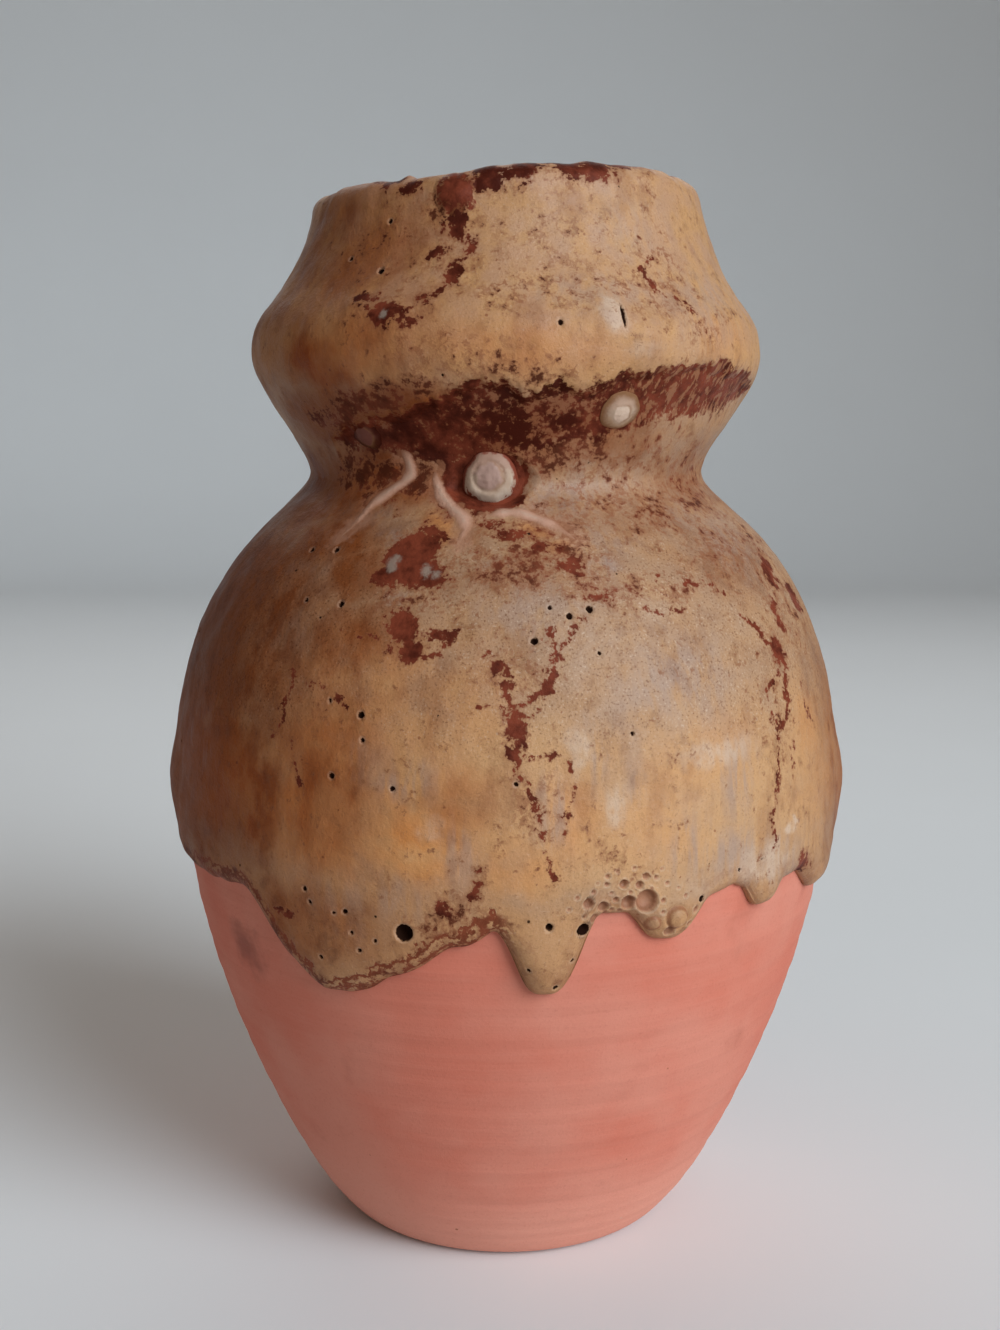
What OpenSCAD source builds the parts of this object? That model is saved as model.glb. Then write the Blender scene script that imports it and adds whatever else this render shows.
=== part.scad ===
// Fat lava vase: a thrown terracotta body with a glazed inside, a thin red base glaze,
// a thick run of lava glaze over the upper half, and applied beads and trails of glaze.
// Millimetres. Foot centre at the origin, +Z up, front towards -Y.
// Angles round the vase are degrees from the front, positive to the right.

/* [Foot] */
// Outer radius of the flat ring the vase stands on
foot_ring_r = 36.5; // [28:0.5:42]
// Width of the flat ring
foot_ring_w = 8; // [5:0.5:14]
// Depth of the hollow inside the ring
foot_recess = 2; // [0.5:0.5:4]
// Radius where the rounded foot edge runs into the wall
heel_r = 43.8; // [42:0.2:50]
// Height where the rounded foot edge runs into the wall
heel_z = 6; // [4:0.5:9]
// Lean of the wall above the foot edge, from the ground
heel_angle = 51; // [45:1:65]
// How far the wall holds that lean
heel_reach = 14.7; // [8:0.1:30]

/* [Body curve] */
// Clay radius at the belly
belly_r = 75.7; // [66:0.1:84]
// Height of the belly
belly_z = 101.7; // [92:0.1:112]
// Pull of the belly on the curve below it
belly_fall = 36; // [20:0.5:50]
// Pull of the belly on the shoulder above it
belly_rise = 59.5; // [40:0.5:66]
// Clay radius at the neck
neck_r = 43.6; // [38:0.1:50]
// How far the neck lies below the lip
neck_z = 59.6; // [53.8:0.1:65.8]
// Pull of the neck on the shoulder below it
neck_fall = 11; // [7:0.5:16]
// Pull of the neck on the collar above it
neck_rise = 7; // [5:0.1:10]
// Clay radius at the collar ridge
collar_r = 56.3; // [52:0.1:62]
// How far the collar ridge lies below the lip
collar_z = 33.3; // [27.8:0.1:39.8]
// Pull of the ridge on the curve below it
collar_fall = 7.2; // [6:0.1:11]
// Pull of the ridge on the curve above it
collar_rise = 11.2; // [8:0.1:14]
// Outer clay radius where the lip begins
mouth_r = 42.1; // [38:0.1:48]
// Height where the lip begins
mouth_z = 235.8; // [228:0.1:242]
// Lean of the wall under the lip, from the ground
mouth_angle = 76; // [68:1:86]
// How far down the wall holds that lean
mouth_fall = 25.8; // [12:0.1:28]

/* [Wall] */
// Clay thickness of the wall
wall_t = 6; // [4:0.5:7]
// Clay thickness of the floor, from the standing plane
floor_t = 9; // [7:0.5:14]
// Radius of the flat part of the inside floor
floor_r = 24; // [12:1:30]
// Pull of the floor and of the wall on the inside corner
corner_pull = 12; // [6:0.5:13]
// Height on the outside wall where the inside starts to turn into the floor
corner_z = 18; // [15:0.5:26]

/* [Glaze coats] */
// Thickness of the glaze that seals the inside
liner_t = 0.7; // [0.4:0.1:1.2]
// Thickness of the red base glaze
base_t = 0.5; // [0.3:0.1:1]
// Thickness of the lava glaze from the neck upwards
lava_top_t = 1.5; // [1:0.1:3]
// Thickness of the lava glaze from the belly downwards
lava_drip_t = 2; // [1.5:0.1:3.5]
// How far the outer coats run down inside the mouth
lava_inside = 9; // [5:0.5:20]

/* [Drip edge] */
// Height of the lava edge between the runs
fringe_z = 92; // [84:0.5:98]
// Rise and fall of the edge between the runs
fringe_wave = 0.8; // [0:0.1:2]
// Roundness of the run tips
tip_round = 1.4; // [1:0.1:2]
// Large lobe at the front left: angle, width, drop
lobe_left = [-27.5, 53, 19]; // [-180:0.5:180]
// Slope that joins the large lobe to the front run: angle, width, drop
lobe_slope = [-9, 28.5, 6.5]; // [-180:0.5:180]
// Front run: angle, width, drop
run_front = [6, 22.5, 18]; // [-180:0.5:180]
// Lobe right of the front run: angle, width, drop
lobe_right = [25.5, 20, 6.5]; // [-180:0.5:180]
// Small run on the right: angle, width, drop
run_small = [45, 13.5, 4.5]; // [-180:0.5:180]
// Run at the right side: angle, width, drop
run_side = [65.5, 27.5, 7]; // [-180:0.5:180]
// Run at the back right: angle, width, drop
run_back_right = [104, 25, 15]; // [-180:0.5:180]
// Lobe at the back right: angle, width, drop
lobe_back_right = [131, 34, 8]; // [-180:0.5:180]
// Run at the back: angle, width, drop
run_back = [163, 24, 18]; // [-180:0.5:180]
// Lobe at the back left: angle, width, drop
lobe_back_left = [-168, 40, 10]; // [-180:0.5:180]
// Run at the back left: angle, width, drop
run_back_left = [-128, 26, 14]; // [-180:0.5:180]
// Lobe at the left side: angle, width, drop
lobe_side = [-99, 36, 7]; // [-180:0.5:180]

/* [Neck band] */
// Angle of the middle of the bare band
band_angle = 22; // [0:1:45]
// Angle the band takes up round the neck
band_span = 132; // [120:1:160]
// Height of the middle of the band above the neck
band_z = 13.6; // [9.8:0.1:16.8]
// Height of the band
band_h = 19.5; // [16:0.5:21]
// Climb of the band from its left end to its right end
band_climb = 6; // [2:0.5:9]
// Depth of its ragged edge
band_rag = 0.9; // [0.2:0.1:1.4]
// Diameter of the bare halo round the large bead
halo_d = 15; // [13:0.5:16]

/* [Beads] */
// Large bead: angle, height above the neck
bead_front_at = [-4.4, 0.6]; // [-180:0.1:180]
// Diameter of the large bead
bead_front_d = 11.6; // [9:0.1:12.5]
// How far the large bead stands out
bead_front_out = 4.6; // [3:0.1:6]
// Right bead: angle, height above the neck
bead_right_at = [27, 14.6]; // [-180:0.1:180]
// Diameter of the right bead
bead_right_d = 8.4; // [6:0.1:10]
// How far the right bead stands out
bead_right_out = 3; // [2:0.1:4]
// Left bead: angle, height above the neck
bead_left_at = [-37, 9.6]; // [-180:0.1:180]
// Diameter of the left bead
bead_left_d = 6.8; // [5:0.1:7.5]
// How far the left bead stands out
bead_left_out = 2.6; // [2:0.1:4]
// Rim drop: angle, height above the foot of the lip
rim_drop_at = [-13.7, -2.8]; // [-180:0.1:180]
// Diameter of the rim drop
rim_drop_d = 9; // [6:0.1:10]
// How far the rim drop stands out
rim_drop_out = 1.8; // [1:0.1:3]

/* [Trails] */
// Width of the trails
trail_w = 2.4; // [1.6:0.1:3]
// How far the trails stand out
trail_out = 1.1; // [0.8:0.1:2]

/* [Hidden] */
$fn = 200;
bezier_steps = 12;
lip_steps = 8;
edge_columns = 240;
band_columns = 72;
trail_columns = 16;
trail_sides = 12;
cut_margin = 3;
// Clearance under the applied beads, trails and drop
seat_gap = 0.05;
// Places on the quarter-round lip of the drip edge, from its face down to the clay
roll_angles = [75, 50, 25, -25];

// Pits left by burst bubbles in the lava glaze: angle, height above the edge between the runs, diameter
pits = [
    [-15.5, -3.6, 3],
    [21, 3, 3.6],
    [26.4, -1.4, 3.8],
    [16.4, 3.4, 2.6],
    [14.3, 58.6, 2.6],
    [4.4, 53.1, 2.4],
    [19.1, 35.5, 2.4],
    [-30.8, 58.7, 2.4],
    [112, 28, 3.2],
    [158, 4, 3.4],
    [-150, 40, 2.8],
    [-104, 12, 3]
];

runs = [
    lobe_left, lobe_slope, run_front, lobe_right, run_small, run_side,
    run_back_right, lobe_back_right, run_back, lobe_back_left, run_back_left, lobe_side
];

// Corner points of each trail: angle, height above the neck
trail_left_line = [[-26, 1.1], [-27.5, -4.2], [-34, -4.7], [-37, -11.7]];
trail_middle_line = [[-19.5, 0.3], [-17, -7.7], [-7.5, -6.7], [-10, -13.7]];
trail_right_line = [[-2, -9.4], [4, -7.6], [9, -10.7], [13.5, -14.2]];

neck_h = mouth_z - neck_z;
ridge_h = mouth_z - collar_z;

// Wall curve from the foot edge to the lip, as cubic pieces
wall_curves = [
    [
        [heel_r, heel_z],
        [heel_r + heel_reach * cos(heel_angle), heel_z + heel_reach * sin(heel_angle)],
        [belly_r, belly_z - belly_fall],
        [belly_r, belly_z]
    ],
    [
        [belly_r, belly_z],
        [belly_r, belly_z + belly_rise],
        [neck_r, neck_h - neck_fall],
        [neck_r, neck_h]
    ],
    [
        [neck_r, neck_h],
        [neck_r, neck_h + neck_rise],
        [collar_r, ridge_h - collar_fall],
        [collar_r, ridge_h]
    ],
    [
        [collar_r, ridge_h],
        [collar_r, ridge_h + collar_rise],
        [mouth_r + mouth_fall * cos(mouth_angle), mouth_z - mouth_fall * sin(mouth_angle)],
        [mouth_r, mouth_z]
    ]
];

// Rounded foot edge
foot_curve = [
    [foot_ring_r, 0],
    [foot_ring_r + heel_z / 2, 0],
    [heel_r - heel_z / 2 * cos(heel_angle), heel_z - heel_z / 2 * sin(heel_angle)],
    [heel_r, heel_z]
];

function bezier(c, t) =
    pow(1 - t, 3) * c[0] + 3 * pow(1 - t, 2) * t * c[1] + 3 * (1 - t) * t * t * c[2] + pow(t, 3) * c[3];

function bezier_way(c, t) =
    let (w = pow(1 - t, 2) * (c[1] - c[0]) + 2 * (1 - t) * t * (c[2] - c[1]) + t * t * (c[3] - c[2]))
    w / norm(w);

// Point of a curve with its outward normal: radius, height, normal radius, normal height
function skin_point(c, t) =
    let (p = bezier(c, t), w = bezier_way(c, t))
    [p[0], p[1], w[1], -w[0]];

function skin_points(c, first) = [for (i = [first:bezier_steps]) skin_point(c, i / bezier_steps)];

function reversed(v) = [for (i = [len(v) - 1:-1:0]) v[i]];

function total(v) = v * [for (x = v) 1];

// Surface of the clay, up the outside
outside = concat(
    skin_points(wall_curves[0], 0),
    skin_points(wall_curves[1], 1),
    skin_points(wall_curves[2], 1),
    skin_points(wall_curves[3], 1)
);

// Half-round lip from the outside over to the inside
lip_n = [outside[len(outside) - 1][2], outside[len(outside) - 1][3]];
lip_way = [-lip_n[1], lip_n[0]];
lip_mid = [mouth_r, mouth_z] - wall_t / 2 * lip_n;
lip = [
    for (i = [1:lip_steps - 1])
        let (a = 180 * i / lip_steps, n = cos(a) * lip_n + sin(a) * lip_way, p = lip_mid + wall_t / 2 * n)
        [p[0], p[1], n[0], n[1]]
];
to_crest = concat(outside, [for (i = [0:lip_steps / 2 - 1]) lip[i]]);

// Surface of the clay, down the inside to the corner of the floor
inner_wall = [
    for (p = reversed(outside))
        if (p[1] > corner_z) [p[0] - wall_t * p[2], p[1] - wall_t * p[3], -p[2], -p[3]]
];
corner_top = inner_wall[len(inner_wall) - 1];
corner_curve = [
    [corner_top[0], corner_top[1]],
    [corner_top[0], corner_top[1]] + corner_pull * [corner_top[3], -corner_top[2]],
    [floor_r + corner_pull, floor_t],
    [floor_r, floor_t]
];
inside = concat(inner_wall, skin_points(corner_curve, 1), [[0, floor_t, 0, 1]]);

// Where the outer coats end inside the mouth and the inside glaze begins
inside_count = len([for (p = inner_wall) if (p[1] > mouth_z - lava_inside) p]);
mouth_inside = [for (i = [0:inside_count]) inside[i]];
vessel_inside = [for (i = [inside_count:len(inside) - 1]) inside[i]];

// Stretch of the surface under the outer coats, from below the lowest run to inside the mouth
lowest_run = fringe_z - max([for (d = runs) d[2]]) - belly_z / bezier_steps * 2;
coated = concat([for (p = outside) if (p[1] > lowest_run) p], lip, mouth_inside);

function lava_t(z) =
    lava_top_t
    + (lava_drip_t - lava_top_t) * min(1, max(0, (neck_h - z) / (neck_h - belly_z)));

function shifted(path, t) = [for (p = path) [p[0] + t * p[2], p[1] + t * p[3]]];

function lava_face(path, gap = 0) =
    [for (p = path) let (t = base_t + lava_t(p[1]) + gap) [p[0] + t * p[2], p[1] + t * p[3]]];

// Height and radius along the clay, the base glaze and the lava glaze
clay_table = [for (p = outside) [p[1], p[0]]];
lava_table = [for (p = lava_face(outside)) [p[1], p[0]]];
base_table = [for (p = shifted(outside, base_t)) [p[1], p[0]]];

function clay_r(z) = lookup(z, clay_table);
function lava_r(z) = lookup(z, lava_table);

function on_turn(a, r, z) = [r * sin(a), -r * cos(a), z];

// Angle between two directions round the vase
function apart(a, b) = let (d = abs(a - b) % 360) min(d, 360 - d);

// Shape of a run: full at its middle, nothing at its sides
function hump(x) = x >= 1 ? 0 : (1 + cos(180 * pow(x, tip_round))) / 2;

function half_angle(width) = width / 2 / belly_r * 180 / PI;

function edge_z(a) =
    fringe_z
    + fringe_wave * (sin(7 * a + 60) + sin(12 * a)) / 2
    - total([for (d = runs) d[2] * hump(apart(a, d[0]) / half_angle(d[1]))]);

// Section below the glaze edge at one angle; its upper side is the rolled lip of the edge
function edge_section(a) =
    let (
        z = edge_z(a),
        r = clay_r(z),
        roll = base_t + lava_drip_t,
        below = lowest_run - cut_margin
    )
    concat(
        [
            on_turn(a, clay_r(lowest_run) - cut_margin, below),
            on_turn(a, r + roll + cut_margin, below),
            on_turn(a, r + roll + cut_margin, z + 1.3 * roll)
        ],
        [for (b = roll_angles) on_turn(a, r + roll * sin(b), z + roll * (1 - cos(b)))],
        [on_turn(a, r - cut_margin, z + roll * (1 - cos(roll_angles[3])))]
    );

function ring_faces(columns, sides) = [
    for (i = [0:columns - 1], j = [0:sides - 1])
        let (k = (i + 1) % columns, m = (j + 1) % sides)
        each [
            [i * sides + j, i * sides + m, k * sides + m],
            [i * sides + j, k * sides + m, k * sides + j]
        ]
];

function strip_faces(columns, sides) = concat(
    [
        for (i = [0:columns - 2], j = [0:sides - 1])
            let (m = (j + 1) % sides)
            each [
                [i * sides + j, i * sides + m, (i + 1) * sides + m],
                [i * sides + j, (i + 1) * sides + m, (i + 1) * sides + j]
            ]
    ],
    [[for (j = [sides - 1:-1:0]) j]],
    [[for (j = [0:sides - 1]) (columns - 1) * sides + j]]
);

// Everything below the drip edge
module below_edge() {
    polyhedron(
        points = [for (i = [0:edge_columns - 1]) each edge_section(360 * i / edge_columns)],
        faces = ring_faces(edge_columns, 8),
        convexity = 10
    );
}

function band_half(x) = band_h / 2 * pow(1 - pow(abs(x), 2.5), 0.4);
function band_mid(x) = neck_h + band_z + band_climb / 2 * x;
function rag_above(a) = band_rag * (sin(a * 19) + 0.7 * sin(a * 37 + 40)) / 1.7;
function rag_below(a) = band_rag * (sin(a * 13 + 70) + 0.7 * sin(a * 31)) / 1.7;

function band_section(x) =
    let (
        a = band_angle + band_span / 2 * x,
        fade = 1 - abs(x),
        low = band_mid(x) - band_half(x) + fade * rag_below(a),
        high = band_mid(x) + band_half(x) + fade * rag_above(a)
    )
    [
        on_turn(a, neck_r - cut_margin, low),
        on_turn(a, collar_r + lava_drip_t + cut_margin, low),
        on_turn(a, collar_r + lava_drip_t + cut_margin, high),
        on_turn(a, neck_r - cut_margin, high)
    ];

// Opening in the lava glaze that bares the red band round the neck
module band_opening() {
    polyhedron(
        points = [for (i = [0:band_columns]) each band_section(0.99 * (2 * i / band_columns - 1))],
        faces = strip_faces(band_columns + 1, 4),
        convexity = 6
    );
}

// Tilt of a face's normal above the level, from the table of its radii
function tilt(table, z) = atan2(lookup(z - 0.5, table) - lookup(z + 0.5, table), 1);

// Stands a shape that points along Z upright on a face of the vase, shifted out by a distance.
// The place is an angle and a height above a level
module standing(table, level, at, out) {
    z = level + at[1];
    n = tilt(table, z);
    translate(on_turn(at[0], lookup(z, table) + out * cos(n), z + out * sin(n)))
        rotate([90 - n, 0, at[0]])
            children();
}

// Solid form inside a face of the vase, which is given from the foot edge to the crest of the lip
module form_inside(face) {
    rotate_extrude()
        polygon(concat([[0, face[0][1]]], face, [[0, face[len(face) - 1][1]]]));
}

// Solid form that the beads on the base glaze sit on
module seat_on_base() {
    form_inside(shifted(to_crest, base_t + seat_gap));
}

// Solid form that the drops and trails on the lava glaze sit on
module seat_on_lava() {
    form_inside(lava_face(to_crest, seat_gap));
}

module bead_ball(table, level, at, d, out) {
    standing(table, level, at, out - d / 2)
        sphere(d = d);
}

// Section of a trail: an oval across the line, seated on the lava face
function trail_section(line, t) =
    let (
        p = bezier(line, t) + [0, neck_h],
        q = bezier(line, t + 0.01) + [0, neck_h],
        here = on_turn(p[0], lava_r(p[1]), p[1]),
        ahead = on_turn(q[0], lava_r(q[1]), q[1]),
        way = (ahead - here) / norm(ahead - here),
        rise = on_turn(p[0], lava_r(p[1] + 1), p[1] + 1) - on_turn(p[0], lava_r(p[1] - 1), p[1] - 1),
        up = cross(on_turn(p[0] + 90, 1, 0), rise / norm(rise)),
        side = cross(way, up),
        full = sqrt(1 - pow(abs(2 * t - 1), 4)) * 0.85 + 0.15
    )
    [
        for (j = [0:trail_sides - 1])
            let (b = 360 * j / trail_sides)
            here + full * (trail_w / 2 * cos(b) * side + trail_out * sin(b) * up)
    ];

module trail(line) {
    difference() {
        polyhedron(
            points = [for (i = [0:trail_columns]) each trail_section(line, i / trail_columns)],
            faces = strip_faces(trail_columns + 1, trail_sides),
            convexity = 4
        );
        seat_on_lava();
    }
}

module terracotta_body() {
    ring_in = foot_ring_r - foot_ring_w;
    color([0.72, 0.42, 0.28])
        rotate_extrude()
            polygon(concat(
                [for (i = [0:bezier_steps - 1]) bezier(foot_curve, i / bezier_steps)],
                shifted(outside, 0),
                shifted(lip, 0),
                shifted(inside, 0),
                [[0, foot_recess], [ring_in - foot_recess, foot_recess], [ring_in, 0]]
            ));
}

module liner_glaze() {
    color([0.45, 0.3, 0.2])
        rotate_extrude()
            polygon(concat(shifted(vessel_inside, 0), reversed(shifted(vessel_inside, liner_t))));
}

module base_glaze() {
    color([0.42, 0.1, 0.07])
        difference() {
            rotate_extrude()
                polygon(concat(shifted(coated, 0), reversed(shifted(coated, base_t))));
            below_edge();
        }
}

module lava_glaze() {
    color([0.74, 0.55, 0.3])
        difference() {
            rotate_extrude()
                polygon(concat(shifted(coated, base_t), reversed(lava_face(coated))));
            below_edge();
            band_opening();
            standing(base_table, neck_h, bead_front_at, -cut_margin)
                cylinder(d = halo_d, h = collar_r - neck_r + cut_margin);
            for (p = pits)
                standing(lava_table, fringe_z, p, 0)
                    sphere(d = p[2]);
        }
}

module bead_front() {
    color([0.86, 0.74, 0.66])
        difference() {
            bead_ball(base_table, neck_h, bead_front_at, bead_front_d, bead_front_out);
            seat_on_base();
        }
}

module bead_right() {
    color([0.9, 0.82, 0.66])
        difference() {
            bead_ball(base_table, neck_h, bead_right_at, bead_right_d, bead_right_out);
            seat_on_base();
        }
}

module bead_left() {
    color([0.72, 0.6, 0.56])
        difference() {
            bead_ball(base_table, neck_h, bead_left_at, bead_left_d, bead_left_out);
            seat_on_base();
        }
}

module rim_drop() {
    color([0.34, 0.06, 0.06])
        difference() {
            bead_ball(lava_table, mouth_z, rim_drop_at, rim_drop_d, rim_drop_out);
            seat_on_lava();
        }
}

module trail_left() {
    color([0.84, 0.76, 0.66])
        trail(trail_left_line);
}

module trail_middle() {
    color([0.84, 0.76, 0.66])
        trail(trail_middle_line);
}

module trail_right() {
    color([0.88, 0.68, 0.46])
        trail(trail_right_line);
}

terracotta_body();
liner_glaze();
base_glaze();
lava_glaze();
bead_front();
bead_right();
bead_left();
rim_drop();
trail_left();
trail_middle();
trail_right();
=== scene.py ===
"""Finish of the fat lava vase: sculpted glaze, clay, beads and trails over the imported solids.

Shapes are worked out in millimetres and built in metres. Angles are degrees from the front,
positive to the right, and heights are above the standing plane. Colours are linear.
"""

from functools import reduce
from itertools import product

import bpy
import numpy as np
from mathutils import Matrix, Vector


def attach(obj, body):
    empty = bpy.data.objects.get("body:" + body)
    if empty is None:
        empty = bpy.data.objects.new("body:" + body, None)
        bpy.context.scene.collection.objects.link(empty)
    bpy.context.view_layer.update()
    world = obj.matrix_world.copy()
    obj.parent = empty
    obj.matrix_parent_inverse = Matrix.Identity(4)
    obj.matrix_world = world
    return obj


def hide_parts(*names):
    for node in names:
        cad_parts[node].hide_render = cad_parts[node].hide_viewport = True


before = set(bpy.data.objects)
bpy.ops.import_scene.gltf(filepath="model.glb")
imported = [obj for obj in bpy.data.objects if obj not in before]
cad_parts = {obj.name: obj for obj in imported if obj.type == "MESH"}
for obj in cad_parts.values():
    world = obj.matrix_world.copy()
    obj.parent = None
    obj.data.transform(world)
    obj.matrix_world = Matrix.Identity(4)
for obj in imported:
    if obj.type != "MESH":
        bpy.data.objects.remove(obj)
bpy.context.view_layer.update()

MM = 0.001
SEED = 41

# Brings points that are turned from +Y round to the front, which looks along -Y
FACING = np.array([1, -1, 1])

# Stations of the clay curve, as in the solids
FOOT_RING_R, FOOT_RING_W, FOOT_RECESS = 36.5, 8.0, 2.0
HEEL_R, HEEL_Z, HEEL_ANGLE, HEEL_REACH = 43.8, 6.0, 51.0, 14.7
BELLY_R, BELLY_Z, BELLY_FALL, BELLY_RISE = 75.7, 101.7, 36.0, 59.5
NECK_R, NECK_Z, NECK_FALL, NECK_RISE = 43.6, 176.2, 11.0, 7.0
COLLAR_R, COLLAR_Z, COLLAR_FALL, COLLAR_RISE = 56.3, 202.5, 7.2, 11.2
MOUTH_R, MOUTH_Z, MOUTH_ANGLE, MOUTH_FALL = 42.1, 235.8, 76.0, 25.8
WALL_T, FLOOR_T, FLOOR_R, CORNER_PULL, CORNER_Z = 6.0, 9.0, 24.0, 12.0, 18.0
LINER_T, BASE_T, LAVA_TOP_T, LAVA_DRIP_T, LAVA_INSIDE = 0.7, 0.5, 1.5, 2.0, 9.0

# Steps along the parts of that curve, and the gap left at the axis
WALL_STEPS, LIP_STEPS, CORNER_STEPS, FOOT_STEPS, AXIS_GAP = 90, 25, 30, 20, 0.3

# Throwing rings of the clay, as rise, size and start, and the height up to which the clay is bare
THROWING_RINGS = ((0.05, 0.62, 0), (0.06, 1.13, 1), (0.07, 2.1, 2))
BARE_CLAY_Z = 100

# Mesh columns in degrees, at the front, at the sides and behind
CRUST_COLUMNS, RED_COLUMNS = (0.27, 0.4, 0.9), (0.6, 0.8, 1.6)

# Height under which the rows of the crust follow its edge, and the columns searched for the edge
CRUST_LEVEL_Z, EDGE_SEARCH = 112.0, 36

# Heights of undersides over the clay, and how deep drops and trails sink into the glaze
CRUST_SEAT, THIN_SEAT, SUNK = 0.15, 0.05, 0.6

# Where the red coat starts inside the mouth, and how far it ends behind the drip edge
RED_START, RED_BEHIND = 1.5, 2.2

# Rows and columns of the other meshes, and the rounds of softening of a trail
CRUST_ROWS, CRUST_EDGE_ROWS, CRUST_UNDER_ROWS, RED_ROWS = 300, 106, 60, 210
CLAY_COLUMNS, LINER_COLUMNS, LINER_ROWS = 288, 160, 120
BEAD_RINGS, BEAD_SPOKES, DROP_RINGS, DROP_SPOKES = 40, 120, 30, 96
TRAIL_STEPS, TRAIL_TOP, TRAIL_UNDER, TRAIL_SOFTENING = 120, 21, 7, 40

# Rows of a bead that its underside follows
UNDER_ROWS = slice(None, None, -6)

# Drip edge of the lava glaze, as in the solids: angle, width and drop of each run
FRINGE_Z, FRINGE_WAVE, TIP_ROUND = 92.0, 0.8, 1.4
RUNS = (
    (-27.5, 53, 19), (-9, 28.5, 6.5), (6, 22.5, 18), (25.5, 20, 6.5), (45, 13.5, 4.5), (65.5, 27.5, 7),
    (104, 25, 15), (131, 34, 8), (163, 24, 18), (-168, 40, 10), (-128, 26, 14), (-99, 36, 7),
)

# Rise of the drip edge over that of the solids: angle, rise
EDGE_TRIM = (
    (-78, 0), (-62, -1.4), (-56, -2.3), (-49, -1.8), (-40, 0), (-36, 0.9), (-31, -0.6), (-20, 0.4),
    (-6, 0), (31, 0), (38, 2), (41, 0), (180, 0),
)

# Height of the rim over the even rim of the solids: angle, rise
RIM_WAVE = (
    (-180, 0.4), (-130, -0.7), (-95, -1.6), (-70, -2.3), (-45, -1.8), (-18, -1.7), (-6, -0.2), (2, 0.7),
    (26, 1.4), (48, 1), (81, 0), (120, -0.6), (155, 0.6), (180, 0.4),
)

# Heights between which that wave sets in
RIM_WAVE_Z = (208, 236)

# Outline of the bare red band round the neck: angle, height
BAND_TOP = (
    (-50, 185), (-42, 187.8), (-32, 190.4), (-22, 191.8), (-16, 194.3), (-7, 197.4), (0, 198), (3, 195),
    (7, 195.6), (11, 197.8), (15, 195.8), (18, 195.6), (25, 199.2), (37, 200.2), (46, 201.6), (66, 199.4),
    (84, 196),
)
BAND_BOTTOM = (
    (-50, 184.6), (-44, 182.8), (-28, 181), (-17, 179.8), (-9, 179.8), (6, 182.4), (13, 184.6),
    (22, 186.4), (35, 188.4), (51, 190.2), (71, 192.6), (84, 195.4),
)

# Thickness of the glaze in that band
BARE_T = 0.25

# Lumps of the lava glaze: rise, size, shift of the random field
LUMPS = ((0.42, 24.0, 0), (0.22, 9.0, 90), (0.09, 3.2, 40))

# Swellings of the lava glaze: angle, height, half width, half height, rise
SWELLS = (
    (-80, 106, 15, 7, 1.5), (82, 107, 13, 8, 1.2), (-27, 82, 17, 7, 0.9), (6, 82, 8, 8, 1.5),
    (25.5, 90, 9, 5, 1), (45, 91, 6, 4, 0.9), (64, 91, 10, 5, 0.9), (104, 84, 8, 8, 1.3),
    (163, 82, 8, 8, 1.4), (-128, 85, 9, 8, 1.3), (29, 205, 4.4, 4.2, 1.6), (21, 209, 3.2, 3.4, 0.8),
    (-31, 238.9, 1.3, 1.2, 0.9), (-26, 208, 9, 5, 0.5),
)

# Open pits of burst bubbles: angle, height, radius
PITS = (
    (-15.4, 88.5, 1.75), (-30.8, 92.6, 0.46), (-31.7, 95.1, 0.49), (-24.8, 91.6, 0.53),
    (-29.5, 81.3, 0.43), (-23.8, 87.4, 0.4), (-22.6, 84, 0.43), (-20, 86.3, 0.4), (-26.6, 91.1, 0.33),
    (6.1, 90.6, 0.76), (9.8, 83.3, 0.46), (7.3, 77.8, 0.53), (3.2, 81.9, 0.4), (11.3, 89.4, 1.35),
    (14.3, 150.6, 0.76), (10.6, 149.4, 0.69), (4.4, 145.1, 0.73), (7.4, 151, 0.46), (15, 142.6, 0.43),
    (19.1, 127.5, 0.49), (-30.9, 150.9, 0.63), (-44.4, 160.1, 0.53), (-37.5, 160.5, 0.59),
    (-22.8, 130.7, 0.66), (-22.2, 126, 0.53), (-28.6, 132.9, 0.4), (1.3, 118.8, 0.46), (-39, 151, 0.46),
    (-27, 118.6, 0.59), (-17, 117.2, 0.53), (10.7, 207.5, 0.56), (-32, 230.3, 0.53), (-42, 222, 0.53),
    (-31, 218.7, 0.73), (30.4, 93.3, 0.66), (53.5, 92.5, 0.53), (38, 97.5, 0.4), (43, 98.5, 0.36),
    (112, 120, 1.5), (118, 147, 0.59), (158, 96, 1.6), (171, 128, 0.66), (-150, 132, 1.3),
    (-160, 214, 0.59), (-104, 104, 1.4), (-112, 152, 0.66), (140, 206, 0.59), (97, 92, 0.59),
    (-76, 140, 0.59),
)

# Open slits of burst blisters: angle, height, half width, half height
SLITS = ((23.9, 208.7, 0.42, 2.3),)

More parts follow.
